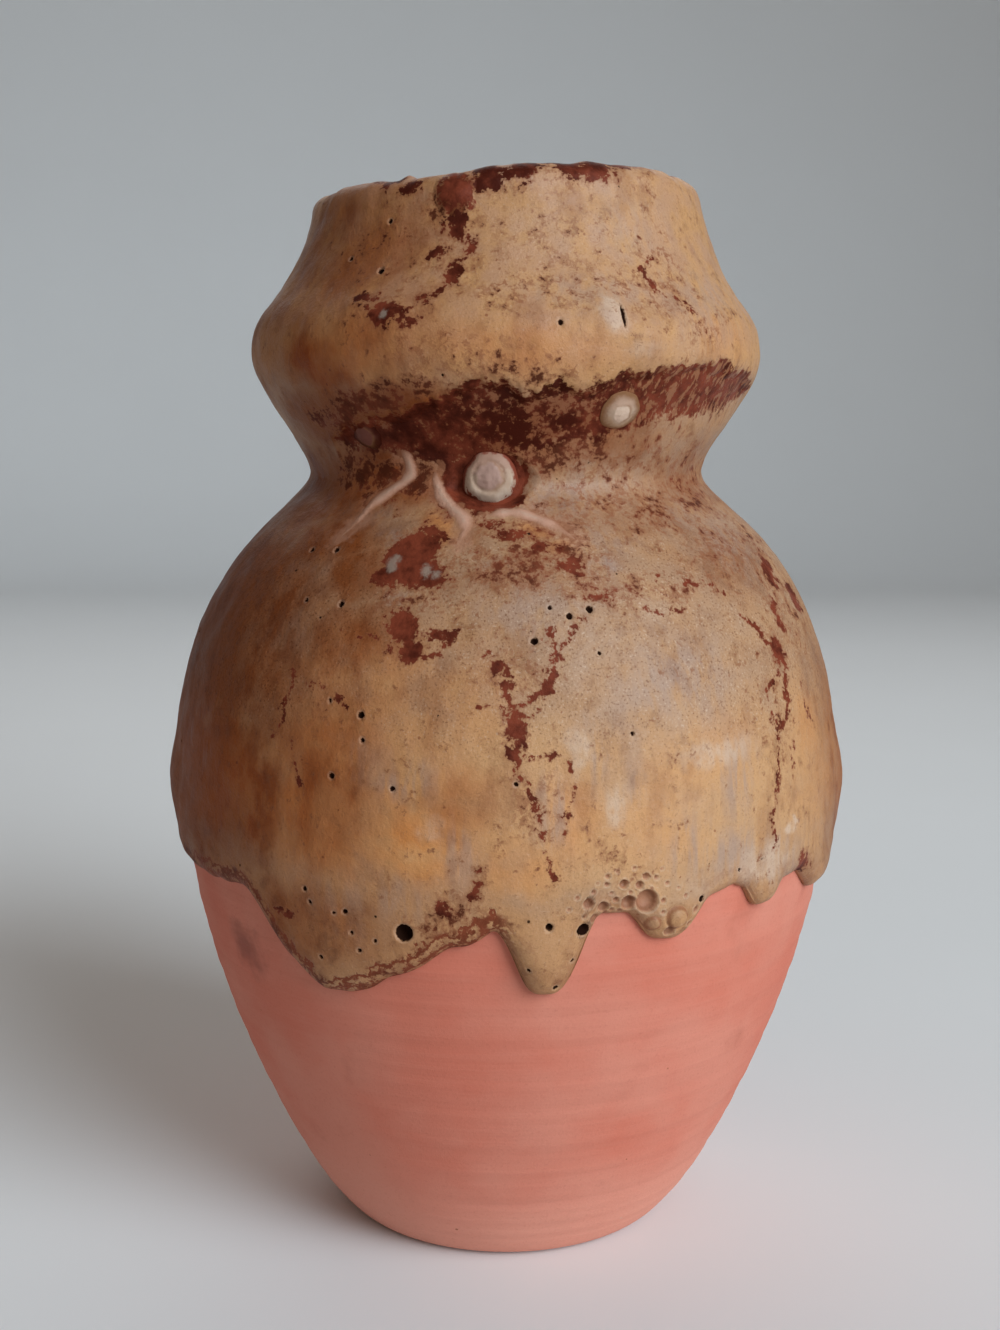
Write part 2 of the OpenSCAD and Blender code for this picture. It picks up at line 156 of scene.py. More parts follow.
# Froth of bubbles over the drip edge at the front right: angle, height, radius
FROTH_BUBBLES = (
    (20.9, 94.5, 2.35), (18, 94.5, 1.55), (14.1, 94.1, 1.15), (11.9, 95, 1.15), (16.8, 92.9, 0.6),
    (15.5, 93.3, 0.55), (16, 95.4, 0.6), (14.6, 92.6, 0.6), (13, 91.6, 1.1), (11.4, 92.4, 0.55),
    (24.9, 87.6, 1.15), (29.3, 91.4, 0.8), (17.2, 98.4, 0.95), (19.7, 97.9, 0.85), (20.7, 99.5, 0.75),
    (22.4, 99, 0.55), (14.7, 100.2, 0.55), (14.6, 98.6, 0.55), (12.6, 97.3, 0.55), (10.2, 96.3, 0.5),
    (23.6, 94.2, 0.6), (24.3, 97.6, 0.5), (15.3, 96.8, 0.42), (18.3, 96.6, 0.45), (13.2, 99, 0.36),
    (16.2, 101, 0.36), (18.8, 101.4, 0.4), (21.6, 97, 0.42), (23.4, 100.6, 0.34), (9, 94, 0.45),
    (27.4, 94.6, 0.5), (26.2, 96.4, 0.36), (28.4, 88.6, 0.7), (23.6, 91.9, 0.5), (160.2, 101, 1.7),
    (163.4, 99.6, 1.2), (166, 101.8, 0.9), (161.8, 104.2, 0.8),
)

# Closed bubbles under the froth: angle, height, radius
CLOSED_BUBBLES = ((26, 90.4, 2.2), (22.1, 89.6, 1.5), (168.4, 98.6, 1.6))

# All bubbles as ovals
HOLES, FROTH, DOMES = (
    [(angle, z, radius, radius) for angle, z, radius in marks]
    for marks in (PITS, FROTH_BUBBLES, CLOSED_BUBBLES)
)
HOLES += SLITS

# Relief of the bubbles: marks, depth and rim by radius, place and softness of the rim
BUBBLES = (
    (HOLES, lambda r: min(1.6 * r, 1.9), lambda r: 0.06 * r, 1.35, 0.3),
    (FROTH, lambda r: min(1.05 * r, 1.85), lambda r: 0.22 * r**0.5, 1.12, 0.22),
    (DOMES, lambda r: -0.4 * r, lambda r: -0.16 * r, 1.05, 0.18),
)

# Depth far outside a mark, reach of a line, depth off the red band and distance far from the drip edge
FAR, LINE_REACH, OFF_BAND, EDGE_FAR = 4.0, 60.0, 30.0, 60.0

# Red marks where the base glaze breaks through: angle, height, half width, half height
RED_SPOTS = (
    (-5, 236.9, 3.2, 2.5), (4, 237, 3.7, 2.1), (12, 238.1, 4.5, 1.4), (18.5, 237.5, 3.4, 2.1),
    (25, 237.1, 4.3, 2.5), (33, 238.2, 4, 1.4), (43, 238.4, 3, 1), (61, 240, 4.5, 0.8),
    (-28, 237.4, 2.4, 1.1), (-38, 238.2, 3.4, 0.8), (-57, 239, 4.5, 0.8), (-16, 228.2, 1.4, 1),
    (-11.8, 219, 1.2, 1.4), (90, 239.6, 9, 1.6), (-100, 239.4, 9, 1.8), (175, 239.4, 10, 2),
    (-13, 230.5, 2, 2.5), (-11.8, 227.2, 2.2, 2.4), (-9.8, 222.3, 1.7, 2.1), (-16.4, 221.8, 1.6, 1.3),
    (-12.8, 216.6, 2.1, 2.6), (-30.8, 211.7, 2.7, 1.3), (-25.5, 209.3, 4.1, 2.5),
    (-19.3, 208.2, 2.2, 1.2), (-18, 212.5, 1.3, 1.5), (-6.2, 175.6, 9.6, 9.2), (-13, 172, 3.2, 5.7),
    (-20, 160.8, 5.3, 5.5), (-16.8, 156.8, 5.7, 3.5), (-23, 156.4, 4.2, 2.8), (-16.5, 164.5, 2.4, 2.5),
    (-18, 147.2, 3, 3.6), (-16.5, 143, 3.3, 1.9), (-3, 166, 2.4, 1.2), (2, 164, 3, 1.6),
    (7, 161.4, 2.2, 1.4), (12, 158.2, 2.4, 1.3), (17, 152.8, 2.9, 1.1), (65, 154, 2.9, 3.7),
    (71, 148, 3.3, 3.3), (58, 146, 1.6, 3.7), (55, 94, 2.5, 2.3), (-35.5, 88.8, 2, 1.3),
    (-9.7, 94.5, 1.3, 1.6), (-4.2, 99, 1, 1.7), (1.3, 130.7, 2.1, 3.2), (53.3, 139.3, 2.2, 3.4),
    (128, 162, 6, 5), (136, 155, 3.8, 4.7), (-140, 158, 6, 4), (-118, 176, 7.6, 4.7),
    (175, 190, 6.2, 3.5), (-150, 239, 8.5, 2.1), (120, 239, 7, 1.8),
)

# Areas with red flecks: angle, height, half width, half height, density
RED_MOTTLE = (
    (-29, 176.5, 13, 6, 0.85), (-42, 190, 10, 4.5, 0.95), (-30, 193.5, 12, 4.5, 1),
    (-18, 196.5, 8, 3.5, 0.75), (2, 199.5, 12, 3, 0.6), (-14, 173, 6, 5, 0.75), (22, 179, 16, 8, 0.45),
    (5, 181.5, 9, 3.5, 0.9), (17, 183.5, 9, 3, 0.85), (40, 182, 14, 7, 0.46), (58, 173, 11, 13, 0.64),
    (52, 160, 13, 8, 0.5), (36, 168, 14, 8, 0.56), (22, 169, 12, 6, 0.5), (6, 164, 11, 6, 0.64),
    (5, 159, 14, 6, 0.72), (-18, 157, 12, 10, 0.55), (18, 154, 10, 4, 0.7), (35, 154, 12, 4, 0.45),
    (62, 150, 9, 12, 0.46), (68, 161, 8, 9, 0.5), (-52, 166, 14, 8, 0.38), (-43, 178, 10, 8, 0.72),
    (-35, 171, 8, 5, 0.6), (-12, 224, 5, 12, 0.46), (-26, 210, 10, 5, 0.52), (12, 222, 17, 10, 0.28),
    (30, 213, 12, 6, 0.4), (40, 219, 8, 10, 0.38), (6, 213, 13, 5, 0.42), (-34, 222, 15, 10, 0.42),
    (-20, 233, 9, 4, 0.5), (18, 236, 26, 4, 0.34), (8, 238, 12, 3, 0.7), (30, 238.6, 9, 2.4, 0.65),
    (-14, 203, 14, 4, 0.36), (44, 206, 10, 4, 0.32), (1, 139, 9, 9, 0.3), (4, 113, 6, 11, 0.34),
    (14, 104, 12, 7, 0.22), (49, 126, 6, 20, 0.24), (-8, 90, 9, 6, 0.5), (-34, 130, 9, 14, 0.22),
    (132, 158, 14, 12, 0.55), (-135, 165, 16, 14, 0.55), (178, 182, 20, 12, 0.5),
    (-100, 210, 20, 10, 0.35), (150, 216, 18, 9, 0.35),
)

# Red lines that run down the glaze: points as angle and height, half width
RED_VEINS = (
    (((-3.6, 133.9), (-1, 133), (1.3, 132.6)), 0.42), (((1.3, 129.6), (3.4, 130.6), (5.4, 131.4)), 0.35),
    (((8.5, 143.4), (10.6, 146.2), (12.6, 148.8)), 0.4),
    (((1.4, 124.6), (4.6, 124.2), (7.6, 123.4), (9.4, 121), (8.8, 115), (8.2, 109)), 0.3),
    (((5.2, 108.3), (5.8, 104.4), (6.8, 101.2)), 0.34), (((-26.4, 133), (-30, 134.4), (-33.6, 136)), 0.3),
    (((-3.8, 142.2), (0.6, 140), (-0.2, 135.4), (1.3, 130.7), (1.3, 124.8), (1.3, 120.9)), 0.73),
    (((1.3, 120.9), (3.5, 118), (4.5, 113), (5.2, 108.3)), 0.45),
    (((1.3, 133.5), (6.2, 135.2), (6.6, 138.8), (8.5, 143.4), (7.2, 147)), 0.69),
    (((46.2, 147.3), (49.8, 142.6), (53.3, 139.3), (53.6, 135.7), (52, 129), (48.8, 124.6)), 0.83),
    (((53.6, 135.7), (47.7, 133), (46.2, 130.5), (47.5, 126.3), (48.8, 124.6)), 0.47),
    (((48, 122.2), (47.3, 117.5), (46.7, 110), (44.8, 105.6), (45.3, 100.4)), 0.4),
    (((28.6, 155.2), (32, 156.2), (36.2, 154.7), (41.6, 153.7), (44, 151.7)), 0.43),
    (((-25, 145), (-21, 146)), 0.55), (((-15.5, 145.9), (-8.6, 146.2), (-10.8, 143), (-14, 141.9)), 0.5),
    (((-37, 137.2), (-37, 131), (-38, 124.4)), 0.47), (((-35, 124), (-34, 119), (-33, 115)), 0.38),
    (((37.6, 221), (34, 217.5), (34, 214.5), (36.5, 212.4), (40.7, 211.9), (43.9, 209.3)), 0.4),
    (((-9.8, 228), (-9, 222), (-12, 217.5)), 0.62), (((-22, 209.5), (-16.5, 211.5), (-13, 216)), 0.47),
    (((52, 121.5), (51.4, 117), (50.2, 112)), 0.32), (((59, 132), (58.5, 128.8), (59.5, 124)), 0.35),
    (((24, 150.5), (29, 149.2), (33, 150.2)), 0.31),
    (((128, 158), (126, 146), (129, 134), (127, 121), (128, 108)), 0.66),
    (((-140, 156), (-143, 145), (-141, 136), (-144, 124)), 0.66),
    (((172, 176), (168, 160), (170, 147), (166, 136)), 0.64),
    (((-100, 160), (-97, 148), (-99, 139)), 0.42), (((95, 150), (98, 141), (96, 130), (98, 118)), 0.43),
)

# Grey islands floating on the red: angle, height, half width, half height
ISLANDS = (
    (-22.8, 158.9, 1.5, 2.1), (-15.6, 157.6, 1.2, 1.6), (-13.4, 157, 1, 1), (-25.6, 208.9, 0.8, 0.8),
    (131, 160, 1.6, 2.2), (-137, 158, 1.8, 1.6),
)

# Warm orange glow on the belly: angle, height, half width, half height, strength
GLOW = (
    (-12, 106, 12, 8, 1.25), (-17, 114, 10, 5, 0.8), (-30, 111, 12, 8, 0.8), (-47, 111, 15, 9, 0.5),
    (-60, 118, 13, 10, 0.4), (29, 120, 13, 5, 0.35), (36, 125, 9, 5, 0.32), (9, 113, 7, 8, 0.75),
    (0.5, 103, 9, 6, 0.8), (22, 110, 11, 8, 0.42), (58, 124, 6, 8, 0.6), (60, 112, 10, 8, 0.35),
    (-36, 202, 14, 6, 0.7), (2, 203, 16, 4, 0.55), (55, 205, 10, 5, 0.4), (-22, 176, 3.5, 4, 0.8),
    (-28.5, 179, 3.5, 4, 0.9), (-15, 166, 3, 4, 0.9), (5.5, 165, 3.4, 2.2, 0.9), (11.5, 162, 3, 2.4, 0.8),
    (-24, 136, 16, 10, 0.6), (-12, 128, 10, 8, 0.5), (-26, 124, 14, 9, 0.8), (-8, 119, 8, 5, 0.6),
    (-6, 134, 9, 9, 0.5), (-27, 103, 14, 7, 0.8), (-38, 174, 12, 7, 0.5), (100, 112, 20, 9, 0.8),
    (150, 114, 22, 8, 0.8), (-155, 113, 22, 9, 0.8), (-105, 114, 18, 9, 0.8), (170, 203, 30, 5, 0.5),
)

# Pale runs and chips, and painted sheen of the window light on the right of the belly: angle, height, half
# width, half height, strength
PALE_AND_SHEEN = (
    (10, 125, 2.6, 4.6, 0.8), (16.4, 113.7, 2.8, 5, 0.75), (-11, 109.5, 3.2, 3, 0.6),
    (49.6, 103.4, 2.6, 1.1, 1.1), (51.5, 104.6, 1.2, 0.8, 1), (21.2, 209.2, 2.6, 3.2, 1.3),
    (28, 203.2, 4.4, 1.4, 0.6), (-31, 239, 1.2, 1.2, 0.9), (34, 122, 10, 3.5, 0.75), (44, 98, 9, 5, 0.75),
    (31, 97, 7, 4, 0.45), (26, 112, 7, 5, 0.35), (14, 90, 4, 3, 0.35), (33, 229, 6, 8, 0.3),
    (8, 226, 10, 7, 0.28), (143, 116, 4, 5, 0.6), (-149, 111, 4, 5, 0.6),
)

# Cool lilac and grey runs: angle, height, half width, half height, strength
LILAC = (
    (-22, 121, 5, 5, 0.45), (-15, 118.7, 6, 3.5, 0.7), (28.5, 137, 12, 8, 0.6), (6.7, 113.6, 3.2, 7, 0.7),
    (37.6, 117, 4, 8, 0.7), (28.6, 104, 6, 5, 0.7), (-7, 104, 3, 7, 0.6), (19, 118, 2.4, 8, 0.5),
    (13, 124, 2.2, 7, 0.6), (36.8, 101.7, 8, 5, 0.75), (-25, 94, 7, 4, 0.4), (-16, 94.5, 5, 4, 0.5),
    (-23, 87.4, 5, 3, 0.35), (-19.3, 152.1, 4.2, 2, 0.8), (-25.5, 164, 2.6, 2.4, 0.7),
    (19, 158.3, 3, 1.6, 0.9), (4, 151, 10, 6, 0.55), (-2, 158, 6, 4, 0.4), (-37, 168, 10, 5, 0.5),
    (47, 168, 9, 6, 0.45), (22, 238.4, 8, 2.6, 1), (2, 237.6, 5, 3, 0.8), (12, 239.6, 6, 1.6, 0.6),
    (13, 171, 12, 6, 0.6), (26, 177, 10, 6, 0.45), (20, 163, 9, 5, 0.45), (55, 160, 10, 8, 0.6),
    (45, 97, 10, 5, 0.6), (20, 213, 14, 3.5, 0.4), (-50, 158, 13, 8, 0.65), (-43, 145, 9, 6, 0.5),
    (48, 211, 16, 9, 0.4), (34, 226, 10, 8, 0.3), (130, 120, 8, 8, 0.6), (-130, 122, 8, 8, 0.6),
    (-172, 100, 14, 6, 0.6),
)

# Darker, browner areas, partly burnt glaze and partly painted shade where the light falls off on the left, at
# the far right and under the collar: angle, height, half width, half height, strength
BURNT_AND_SHADED_AREAS = (
    (-46, 224, 22, 20, 0.8), (-62, 205, 28, 14, 0.65), (-58, 172, 24, 16, 1.1), (-40, 178, 12, 9, 1.05),
    (-42, 162, 15, 9, 1), (-27, 174, 14, 7, 1), (-52, 190, 16, 9, 1.15), (-46, 200, 14, 8, 1),
    (-30, 156, 9, 7, 1.05), (-28, 145, 12, 9, 0.85), (-28, 128, 13, 12, 0.6), (-29, 112, 14, 14, 0.85),
    (-6, 115, 8, 6, 0.5), (-28, 205, 20, 7, 0.65), (-20, 213, 9, 6, 0.4), (6, 157, 16, 6, 0.4),
    (-72, 142, 46, 36, 1.25), (-60, 112, 36, 22, 1.2), (-40, 132, 14, 26, 0.75), (-38, 88, 26, 11, 0.8),
    (0, 186, 34, 8, 0.8), (-28, 193, 18, 6, 0.95), (60, 176, 16, 12, 0.5), (30, 168, 22, 8, 0.36),
    (-8, 164, 4, 4, 0.7), (51, 158, 16, 9, 0.45), (80, 112, 22, 26, 0.85), (0, 203, 26, 4, 0.3),
    (110, 170, 30, 18, 0.6), (-165, 150, 40, 24, 0.6), (160, 120, 30, 14, 0.4),
)

# Fields of soft marks and of round marks
SOFT_MARKS = {"mottle": RED_MOTTLE, "glow": GLOW, "pale": PALE_AND_SHEEN, "lilac": LILAC, "burnt_and_shade": BURNT_AND_SHADED_AREAS}
ROUND_MARKS = {"island": ISLANDS, "pit": HOLES, "froth": FROTH, "dome": DOMES}

# Distances of the red lines along the drip edge of the left lobe
EDGE_LINES = (0.8, 3.4)

# Beads and trails, near those of the solids
BEAD_FRONT, BEAD_FRONT_R, BEAD_FRONT_OUT = (-4.4, 176.8), 5.9, 3.2
BEAD_FRONT_MIDDLE = (-0.2, 0.7)
BEAD_RIGHT, BEAD_RIGHT_R, BEAD_RIGHT_OUT = (27.0, 190.8), 4.5, 1.2
BEAD_LEFT, BEAD_LEFT_R, BEAD_LEFT_OUT = (-37.8, 185.8), 3.5, 1.1
RIM_DROP, RIM_DROP_R, RIM_DROP_OUT = (-13.7, 234.6), 4.9, 1.2
TRAIL_LEFT = (
    (-28.4, 182.6), (-26.6, 181), (-25.9, 178), (-28.6, 174.8), (-32.8, 171.8), (-35.6, 169.2),
    (-36.9, 165.8), (-38.8, 162.8),
)
TRAIL_MIDDLE = (
    (-19.3, 178.4), (-18.6, 175.3), (-17, 172), (-13.8, 169.6), (-10.2, 167.4), (-9, 165.6),
    (-9.6, 163.8), (-10.6, 161.8),
)
TRAIL_RIGHT = ((-4, 167.9), (-1, 168.4), (3.2, 168.3), (7.3, 167.1), (10.8, 165.6), (14.4, 163.2))
TRAILS = (TRAIL_LEFT, TRAIL_MIDDLE, TRAIL_RIGHT)
TRAIL_W, TRAIL_OUT = 2.1, 0.38

# Dark smudge on the bare clay: angle, height
SMUDGE = (-50.4, 75.6)

# Colours
OCHRE = (0.53, 0.275, 0.116)
PINK_TAN = (0.485, 0.262, 0.145)
TAN = (0.46, 0.25, 0.125)
GREY_TAN = (0.43, 0.252, 0.147)
KHAKI = (0.52, 0.258, 0.108)
BROWN = (0.27, 0.125, 0.056)
UMBER = (0.18, 0.07, 0.028)
# Brown tint of the burnt areas, partly painted shade
BURNT_AND_SHADE = (0.49, 0.235, 0.115)
SMOKE = (0.7, 0.6, 0.56)
ORANGE = (0.63, 0.232, 0.055)
GOLD = (0.63, 0.342, 0.148)
LILAC_GREY = (0.38, 0.262, 0.212)
ISLAND_GREY = (0.33, 0.25, 0.195)
CREAM = (0.62, 0.44, 0.32)
RUST = (0.27, 0.09, 0.036)
RED = (0.215, 0.045, 0.022)
DARK_RED = (0.06, 0.01, 0.005)
# Painted shade inside pits and pinholes
HOLLOW_SHADE = (0.02, 0.008, 0.005)
FROTH_TAN = (0.5, 0.25, 0.15)
CLAY = (0.64, 0.185, 0.122)
CLAY_PALE = (0.67, 0.245, 0.172)
CLAY_FOOT = (0.76, 0.34, 0.25)
CLAY_DARK = (0.44, 0.125, 0.08)
CLAY_SMUDGE = (0.2, 0.06, 0.045)
LINER_BROWN = (0.2, 0.095, 0.045)
LINER_TAN = (0.36, 0.2, 0.1)
BEAD_PINK = (0.4, 0.245, 0.195)
BEAD_CREAM = (0.46, 0.315, 0.225)
BEAD_WHITE = (0.5, 0.375, 0.285)
BEAD_MILK = (0.66, 0.475, 0.36)
BEAD_SAND = (0.46, 0.295, 0.185)
BEAD_RIM = (0.24, 0.11, 0.05)
BEAD_MAUVE = (0.185, 0.066, 0.048)
TRAIL_CREAM = (0.54, 0.295, 0.205)
TRAIL_PINK = (0.43, 0.215, 0.135)
STAGE_GREY = (0.76, 0.765, 0.77)

# Camera, as metres and degrees, and the lights: name, place, size, power, tint, beam spread
CAMERA_PLACE, CAMERA_DOWN, CAMERA_LENS, CAMERA_SENSOR = (-0.0014, -0.399, 0.195), 9.24, 45.9, 36.0
LIGHT_TARGET = (0, 0, 0.12)
LIGHTS = (
    ("window", (1.68, -1.72, 1.38), (1.8, 2.0), 15.9, (0.83, 0.93, 1.0), 64),
    ("room", (-0.5, -1.1, 0.9), (1.2, 0.8), 0.85, (1.0, 0.84, 0.67), 180),
    ("back", (0.0, 1.15, 1.0), (1.6, 0.9), 2.1, (1.0, 0.97, 0.94), 110),
)
WORLD_TINT, WORLD_POWER = (1.0, 0.87, 0.75), 0.12


# Places and soft steps


def turned(angle):
    """Brings angles into -180 to 180."""
    return (angle + 180) % 360 - 180


def smooth(x, low, high):
    """Rises softly from 0 at low to 1 at high."""
    t = np.clip((x - low) / (high - low), 0, 1)
    return t * t * (3 - 2 * t)


def hump(x, middle, width):
    """Bell curve of height 1 about a middle."""
    return np.exp(-(((x - middle) / width) ** 2))


def spun(angle, r, z):
    """Points at radii and heights, turned by angles from +Y."""
    turn = np.radians(angle)
    return np.stack(np.broadcast_arrays(r * np.sin(turn), r * np.cos(turn), z), axis=-1)


def rim_rise(angle, z):
    """How far the uneven rim lifts the vase at a place."""
    return np.interp(turned(angle), *np.array(RIM_WAVE).T) * smooth(z, *RIM_WAVE_Z)


def placed(angle, r, z):
    """Points in metres at angles from the front, radii and heights, with the uneven rim."""
    return spun(angle, r, z + rim_rise(angle, z)) * FACING * MM


# Clay curve


def bezier(corners, steps):
    """Points and outward normals along a cubic curve in the radius-height plane."""
    a, b, c, d = np.array(corners, float)
    t = np.linspace(0, 1, steps)[:, None]
    s = 1 - t
    points = s**3 * a + 3 * s**2 * t * b + 3 * s * t**2 * c + t**3 * d
    way = s**2 * (b - a) + 2 * s * t * (c - b) + t**2 * (d - c)
    way /= np.linalg.norm(way, axis=1, keepdims=True)
    return points, np.column_stack([way[:, 1], -way[:, 0]])


def joined(*pieces):
    """Joins curve pieces that share their end points."""
    return tuple(np.concatenate([piece[k][min(i, 1):] for i, piece in enumerate(pieces)]) for k in (0, 1))


class Line:
    """A line in the radius-height plane with its normals, read by the length along it."""

    def __init__(self, points, normals):
        self.points, self.normals = points, normals
        steps = np.linalg.norm(np.diff(points, axis=0), axis=1)
        self.lengths = np.concatenate([[0.0], np.cumsum(steps)])
        self.end = self.lengths[-1]

    def at(self, s):
        """Radius, height, normal radius and normal height at the lengths s."""
        columns = np.column_stack([self.points, self.normals]).T
        return [np.interp(s, self.lengths, column) for column in columns]


def leaning(degrees, length):
    """A step of some length at an angle from the ground, as radius and height."""
    return length * np.array([np.cos(np.radians(degrees)), np.sin(np.radians(degrees))])


def clay_lines():
    """The clay from the foot edge to the lip, over the lip, down the inside to the floor, and the foot."""
    up = np.array([0, 1.0])
    heel = np.array([HEEL_R, HEEL_Z])
    stations = (
        (heel, 0, leaning(HEEL_ANGLE, HEEL_REACH)),
        (np.array([BELLY_R, BELLY_Z]), -BELLY_FALL * up, BELLY_RISE * up),
        (np.array([NECK_R, NECK_Z]), -NECK_FALL * up, NECK_RISE * up),
        (np.array([COLLAR_R, COLLAR_Z]), -COLLAR_FALL * up, COLLAR_RISE * up),
        (np.array([MOUTH_R, MOUTH_Z]), leaning(-MOUTH_ANGLE, MOUTH_FALL), 0),
    )
    outside = joined(
        *(
            bezier([low, low + leave, high + arrive, high], WALL_STEPS)
            for (low, _, leave), (high, arrive, _) in zip(stations, stations[1:])
        )
    )
    normal = outside[1][-1]
    turn = np.linspace(0, np.pi, LIP_STEPS)[:, None]
    lip_normals = np.cos(turn) * normal + np.sin(turn) * np.array([-normal[1], normal[0]])
    lip = (outside[0][-1] - WALL_T / 2 * normal + WALL_T / 2 * lip_normals, lip_normals)

    keep = outside[0][:, 1] > CORNER_Z
    wall = ((outside[0] - WALL_T * outside[1])[keep][::-1], -outside[1][keep][::-1])
    top, out = wall[0][-1], wall[1][-1]
    down = CORNER_PULL * np.array([out[1], -out[0]])
    corner = bezier([top, top + down, (FLOOR_R + CORNER_PULL, FLOOR_T), (FLOOR_R, FLOOR_T)], CORNER_STEPS)
    floor = (np.array([[FLOOR_R, FLOOR_T], [AXIS_GAP, FLOOR_T]]), np.array([up, up]))

    half = HEEL_Z / 2
    edge = [(FOOT_RING_R, 0), (FOOT_RING_R + half, 0), heel - leaning(HEEL_ANGLE, half), heel]
    ring_in = FOOT_RING_R - FOOT_RING_W
    under = np.array(
        [
            (AXIS_GAP, FOOT_RECESS),
            (ring_in - 2 * FOOT_RECESS, FOOT_RECESS),
            (ring_in - FOOT_RECESS, 0.8 * FOOT_RECESS),
            (ring_in - 0.4 * FOOT_RECESS, 0.2 * FOOT_RECESS),
            (ring_in + 0.3, 0),
            (FOOT_RING_R, 0),
        ]
    )
    foot = joined((under, np.tile(-up, (len(under), 1))), bezier(edge, FOOT_STEPS))
    return outside, lip, joined(wall, corner, floor), foot


OUTSIDE, LIP, INSIDE, FOOT = clay_lines()
MOUTH_INSIDE = tuple(part[INSIDE[0][:, 1] > MOUTH_Z - LAVA_INSIDE] for part in INSIDE)

# The coated surface, from inside the mouth over the lip and down the outside
COAT = Line(*(part[::-1] for part in joined(OUTSIDE, LIP, MOUTH_INSIDE)))
CREST_S = COAT.lengths[COAT.points[:, 1].argmax()]


def down_to(z):
    """Length along the coat to a height on the outside."""
    below = COAT.lengths >= CREST_S
    return np.interp(-np.asarray(z, float), -COAT.points[below, 1], COAT.lengths[below])


def raised(angle, s, lift):
    """Points in metres over the clay, at angles and lengths along the coat."""
    r, z, nr, nz = COAT.at(s)
    return placed(angle, r + lift * nr, z + lift * nz)


def beside(place, across, up):
    """Angle and length along the coat at distances right of and above a place."""
    s = down_to(place[1]) - up
    return place[0] + np.degrees(across / COAT.at(s)[0]), s


def seat_frame(place, height):
    """Point over the clay at a place, with the directions right, up and out."""
    turn = np.radians(place[0])
    r, z, nr, nz = (float(v) for v in COAT.at(down_to(place[1])))
    front = np.array([np.sin(turn), -np.cos(turn), 0])
    level = np.array([0, 0, 1.0])
    right = np.array([np.cos(turn), np.sin(turn), 0])
    middle = MM * ((r + height * nr) * front + (z + height * nz) * level)
    return middle, right, nr * level - nz * front, nr * front + nz * level


# Random fields

rng = np.random.default_rng(SEED)
ORDER = np.tile(rng.permutation(256), 3)
SLOPES = rng.normal(size=(256, 3))
SLOPES /= np.linalg.norm(SLOPES, axis=1, keepdims=True)


def noise(points, size):
    """Smooth random field, about -1 to 1, with bumps of a given size."""
    p = points / size
    cell = np.floor(p).astype(int)
    f = p - cell
    fade = f**3 * (f * (f * 6 - 15) + 10)
    total = np.zeros(p.shape[:-1])
    for corner in product((0, 1), repeat=3):
        c = (cell + corner) & 255
        slope = SLOPES[ORDER[ORDER[ORDER[c[..., 0]] + c[..., 1]] + c[..., 2]]]
        weight = np.prod(np.where(corner, fade, 1 - fade), axis=-1)
        total += weight * ((f - corner) * slope).sum(-1)
    return total * 1.6


# Features of the glaze


def edge_height(angle):
    """Height of the drip edge."""
    a = np.radians(angle)
    z = FRINGE_Z + FRINGE_WAVE * (np.sin(7 * a + np.radians(60)) + np.sin(12 * a)) / 2
    for middle, width, drop in RUNS:
        x = np.abs(turned(angle - middle)) / np.degrees(width / 2 / BELLY_R)
        z = z - drop * np.where(x < 1, (1 + np.cos(np.pi * np.minimum(x, 1) ** TIP_ROUND)) / 2, 0)
    return z + np.interp(turned(angle), *np.array(EDGE_TRIM).T) + 0.45 * noise(spun(angle, BELLY_R, 0), 5.0)


